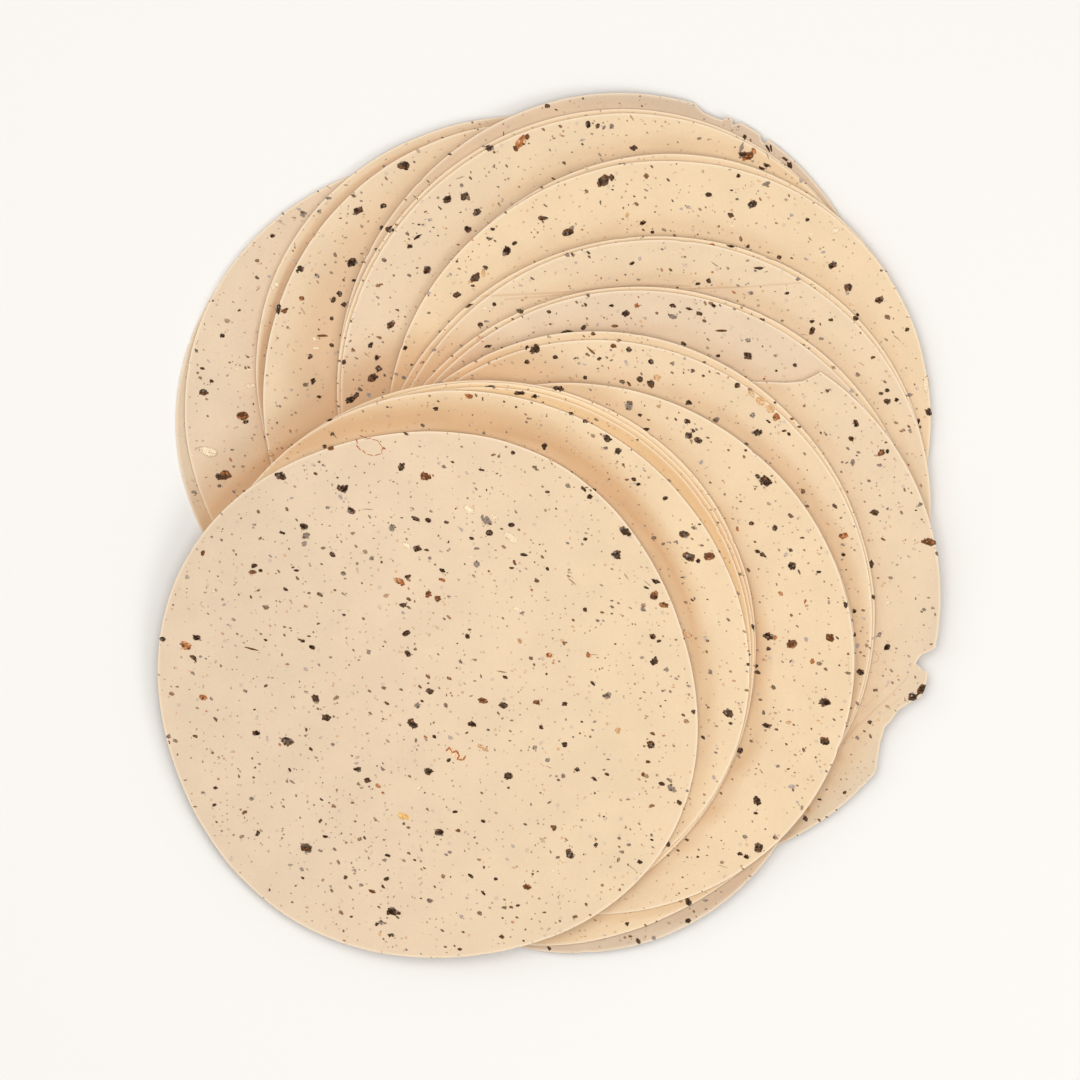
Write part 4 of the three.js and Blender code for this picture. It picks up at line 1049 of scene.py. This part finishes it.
# One piece for all the specks of a kind. The fainter a speck, the flatter it is and the nearer its
# colour is to the dough's.
def buildCrumbs(kind, rows, material):
    rng = np.random.default_rng(len(rows))
    level = topLevelAt(rows[:, 0], rows[:, 1])
    rows, level = rows[level >= 0], level[level >= 0]
    strength = rows[:, 5]
    height = lumpHeight(rows[:, 3]) * (0.3 + 0.7 * strength)
    height *= crumbs["flat"].get(kind, 1)
    points = lumpPoints(np.column_stack([rows[:, :5], rows[:, 6], level, height]), rng)
    count, corners = points.shape[:2]
    sectors = crumbs["sectors"]
    base = linearColour(crumbs["colours"][kind])
    glint = linearColour(crumbs["glints"][kind])
    around = linearColour(dough["around"])
    share = np.clip(rng.normal(*crumbs["glintShare"], (count, corners)), 0, 1)[..., None]
    colour = base + (glint - base) * share
    fade = np.clip(strength[:, None] * np.ones(corners), 0, 1)
    fade[:, :sectors] *= crumbs["ghostEdge"] if kind == "ghost" else crumbs["edgeShare"]
    colour = around + (colour - around) * fade[..., None]
    isSmooth = kind in ("ghost", "pale")
    piece = addPiece("crumbs_" + kind, points.reshape(-1, 3), [lumpFaces(count)], material, isSmooth)
    addColours(piece, "tint", colour.reshape(-1, 3))
    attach(piece, "root")
    print("crumbs", kind, count)
    return piece


view = {"pixel": 0.32, "width": 1080, "middle": (540, 540), "origin": (549, 525), "lens": 500, "sensor": 36}


# The camera looks straight down with a long lens, at the photo's middle and scale.
def addCamera():
    data = bpy.data.cameras.new("camera")
    data.lens = view["lens"]
    data.sensor_width = view["sensor"]
    data.clip_end = 100
    camera = bpy.data.objects.new("camera", data)
    bpy.context.scene.collection.objects.link(camera)
    across = view["pixel"] * view["width"] * mm
    x = (view["middle"][0] - view["origin"][0]) * view["pixel"] * mm
    y = (view["origin"][1] - view["middle"][1]) * view["pixel"] * mm
    camera.location = (x, y, across * view["lens"] / view["sensor"])
    bpy.context.scene.camera = camera


studio = {
    "world": (1.0, 0.98, 0.96),
    "worldStrength": 0.372,
    "key": {"at": (0.9, -0.63, 1.3), "size": 0.9, "power": 7.8},
    "overhead": {"at": (-0.1, 0.1, 2.0), "size": 1.6, "power": 25.5},
    "fill": {"at": (-1.1, 0.7, 1.3), "size": 1.3, "power": 4.4},
    "floor": (232, 230, 226),
    "floorReach": 6000,
    "floorDepth": 0.05,
}


def addSoftLight(name, at, size, power):
    data = bpy.data.lights.new(name, "AREA")
    data.shape = "DISK"
    data.size = size
    data.energy = power
    light = bpy.data.objects.new(name, data)
    bpy.context.scene.collection.objects.link(light)
    light.location = at
    light.rotation_euler = (-math.atan2(math.hypot(at[0], at[1]), at[2]), 0, math.atan2(-at[0], at[1]))
    light.visible_camera = False


def buildStudio():
    world = bpy.data.worlds.new("soft light")
    world.use_nodes = True
    background = world.node_tree.nodes["Background"]
    background.inputs["Color"].default_value = (*studio["world"], 1)
    background.inputs["Strength"].default_value = studio["worldStrength"]
    bpy.context.scene.world = world
    addSoftLight("key", **studio["key"])
    addSoftLight("overhead", **studio["overhead"])
    addSoftLight("fill", **studio["fill"])
    material = bpy.data.materials.new("pale floor")
    material.use_nodes = True
    shader = material.node_tree.nodes["Principled BSDF"]
    shader.inputs["Base Color"].default_value = socketColour(studio["floor"])
    shader.inputs["Roughness"].default_value = 0.8
    corners = np.array([[-1, -1], [1, -1], [1, 1], [-1, 1]]) * float(studio["floorReach"])
    points = np.column_stack([corners, np.full(4, -studio["floorDepth"])])
    floor = addPiece("floor", points, [np.array([[0, 1, 2, 3]])], material)


bpy.context.scene.view_settings.view_transform = "Standard"
addCamera()
buildStudio()
dotGroup = buildDotGroup()
foldGroup = buildFoldGroup()
plainDough = buildDoughMaterial("papadum dough", dotGroup, foldGroup, [])
foldedDough = buildDoughMaterial("papadum dough with folds", dotGroup, foldGroup, folds)
print("materials built")
foldEnds = np.array(folds)
foldedLevels = set(topLevelAt(foldEnds[:, [0, 2]], foldEnds[:, [1, 3]]).ravel())
for papadumLevel in range(len(papadums)):
    buildPapadum(papadumLevel, foldedDough if papadumLevel in foldedLevels else plainDough)
print("papadums built")
crumbRows = scatterCrumbs()
for crumbKind, kindRows in crumbRows.items():
    buildCrumbs(crumbKind, kindRows, buildCrumbMaterial("crumbs " + crumbKind))
print("crumbs built")
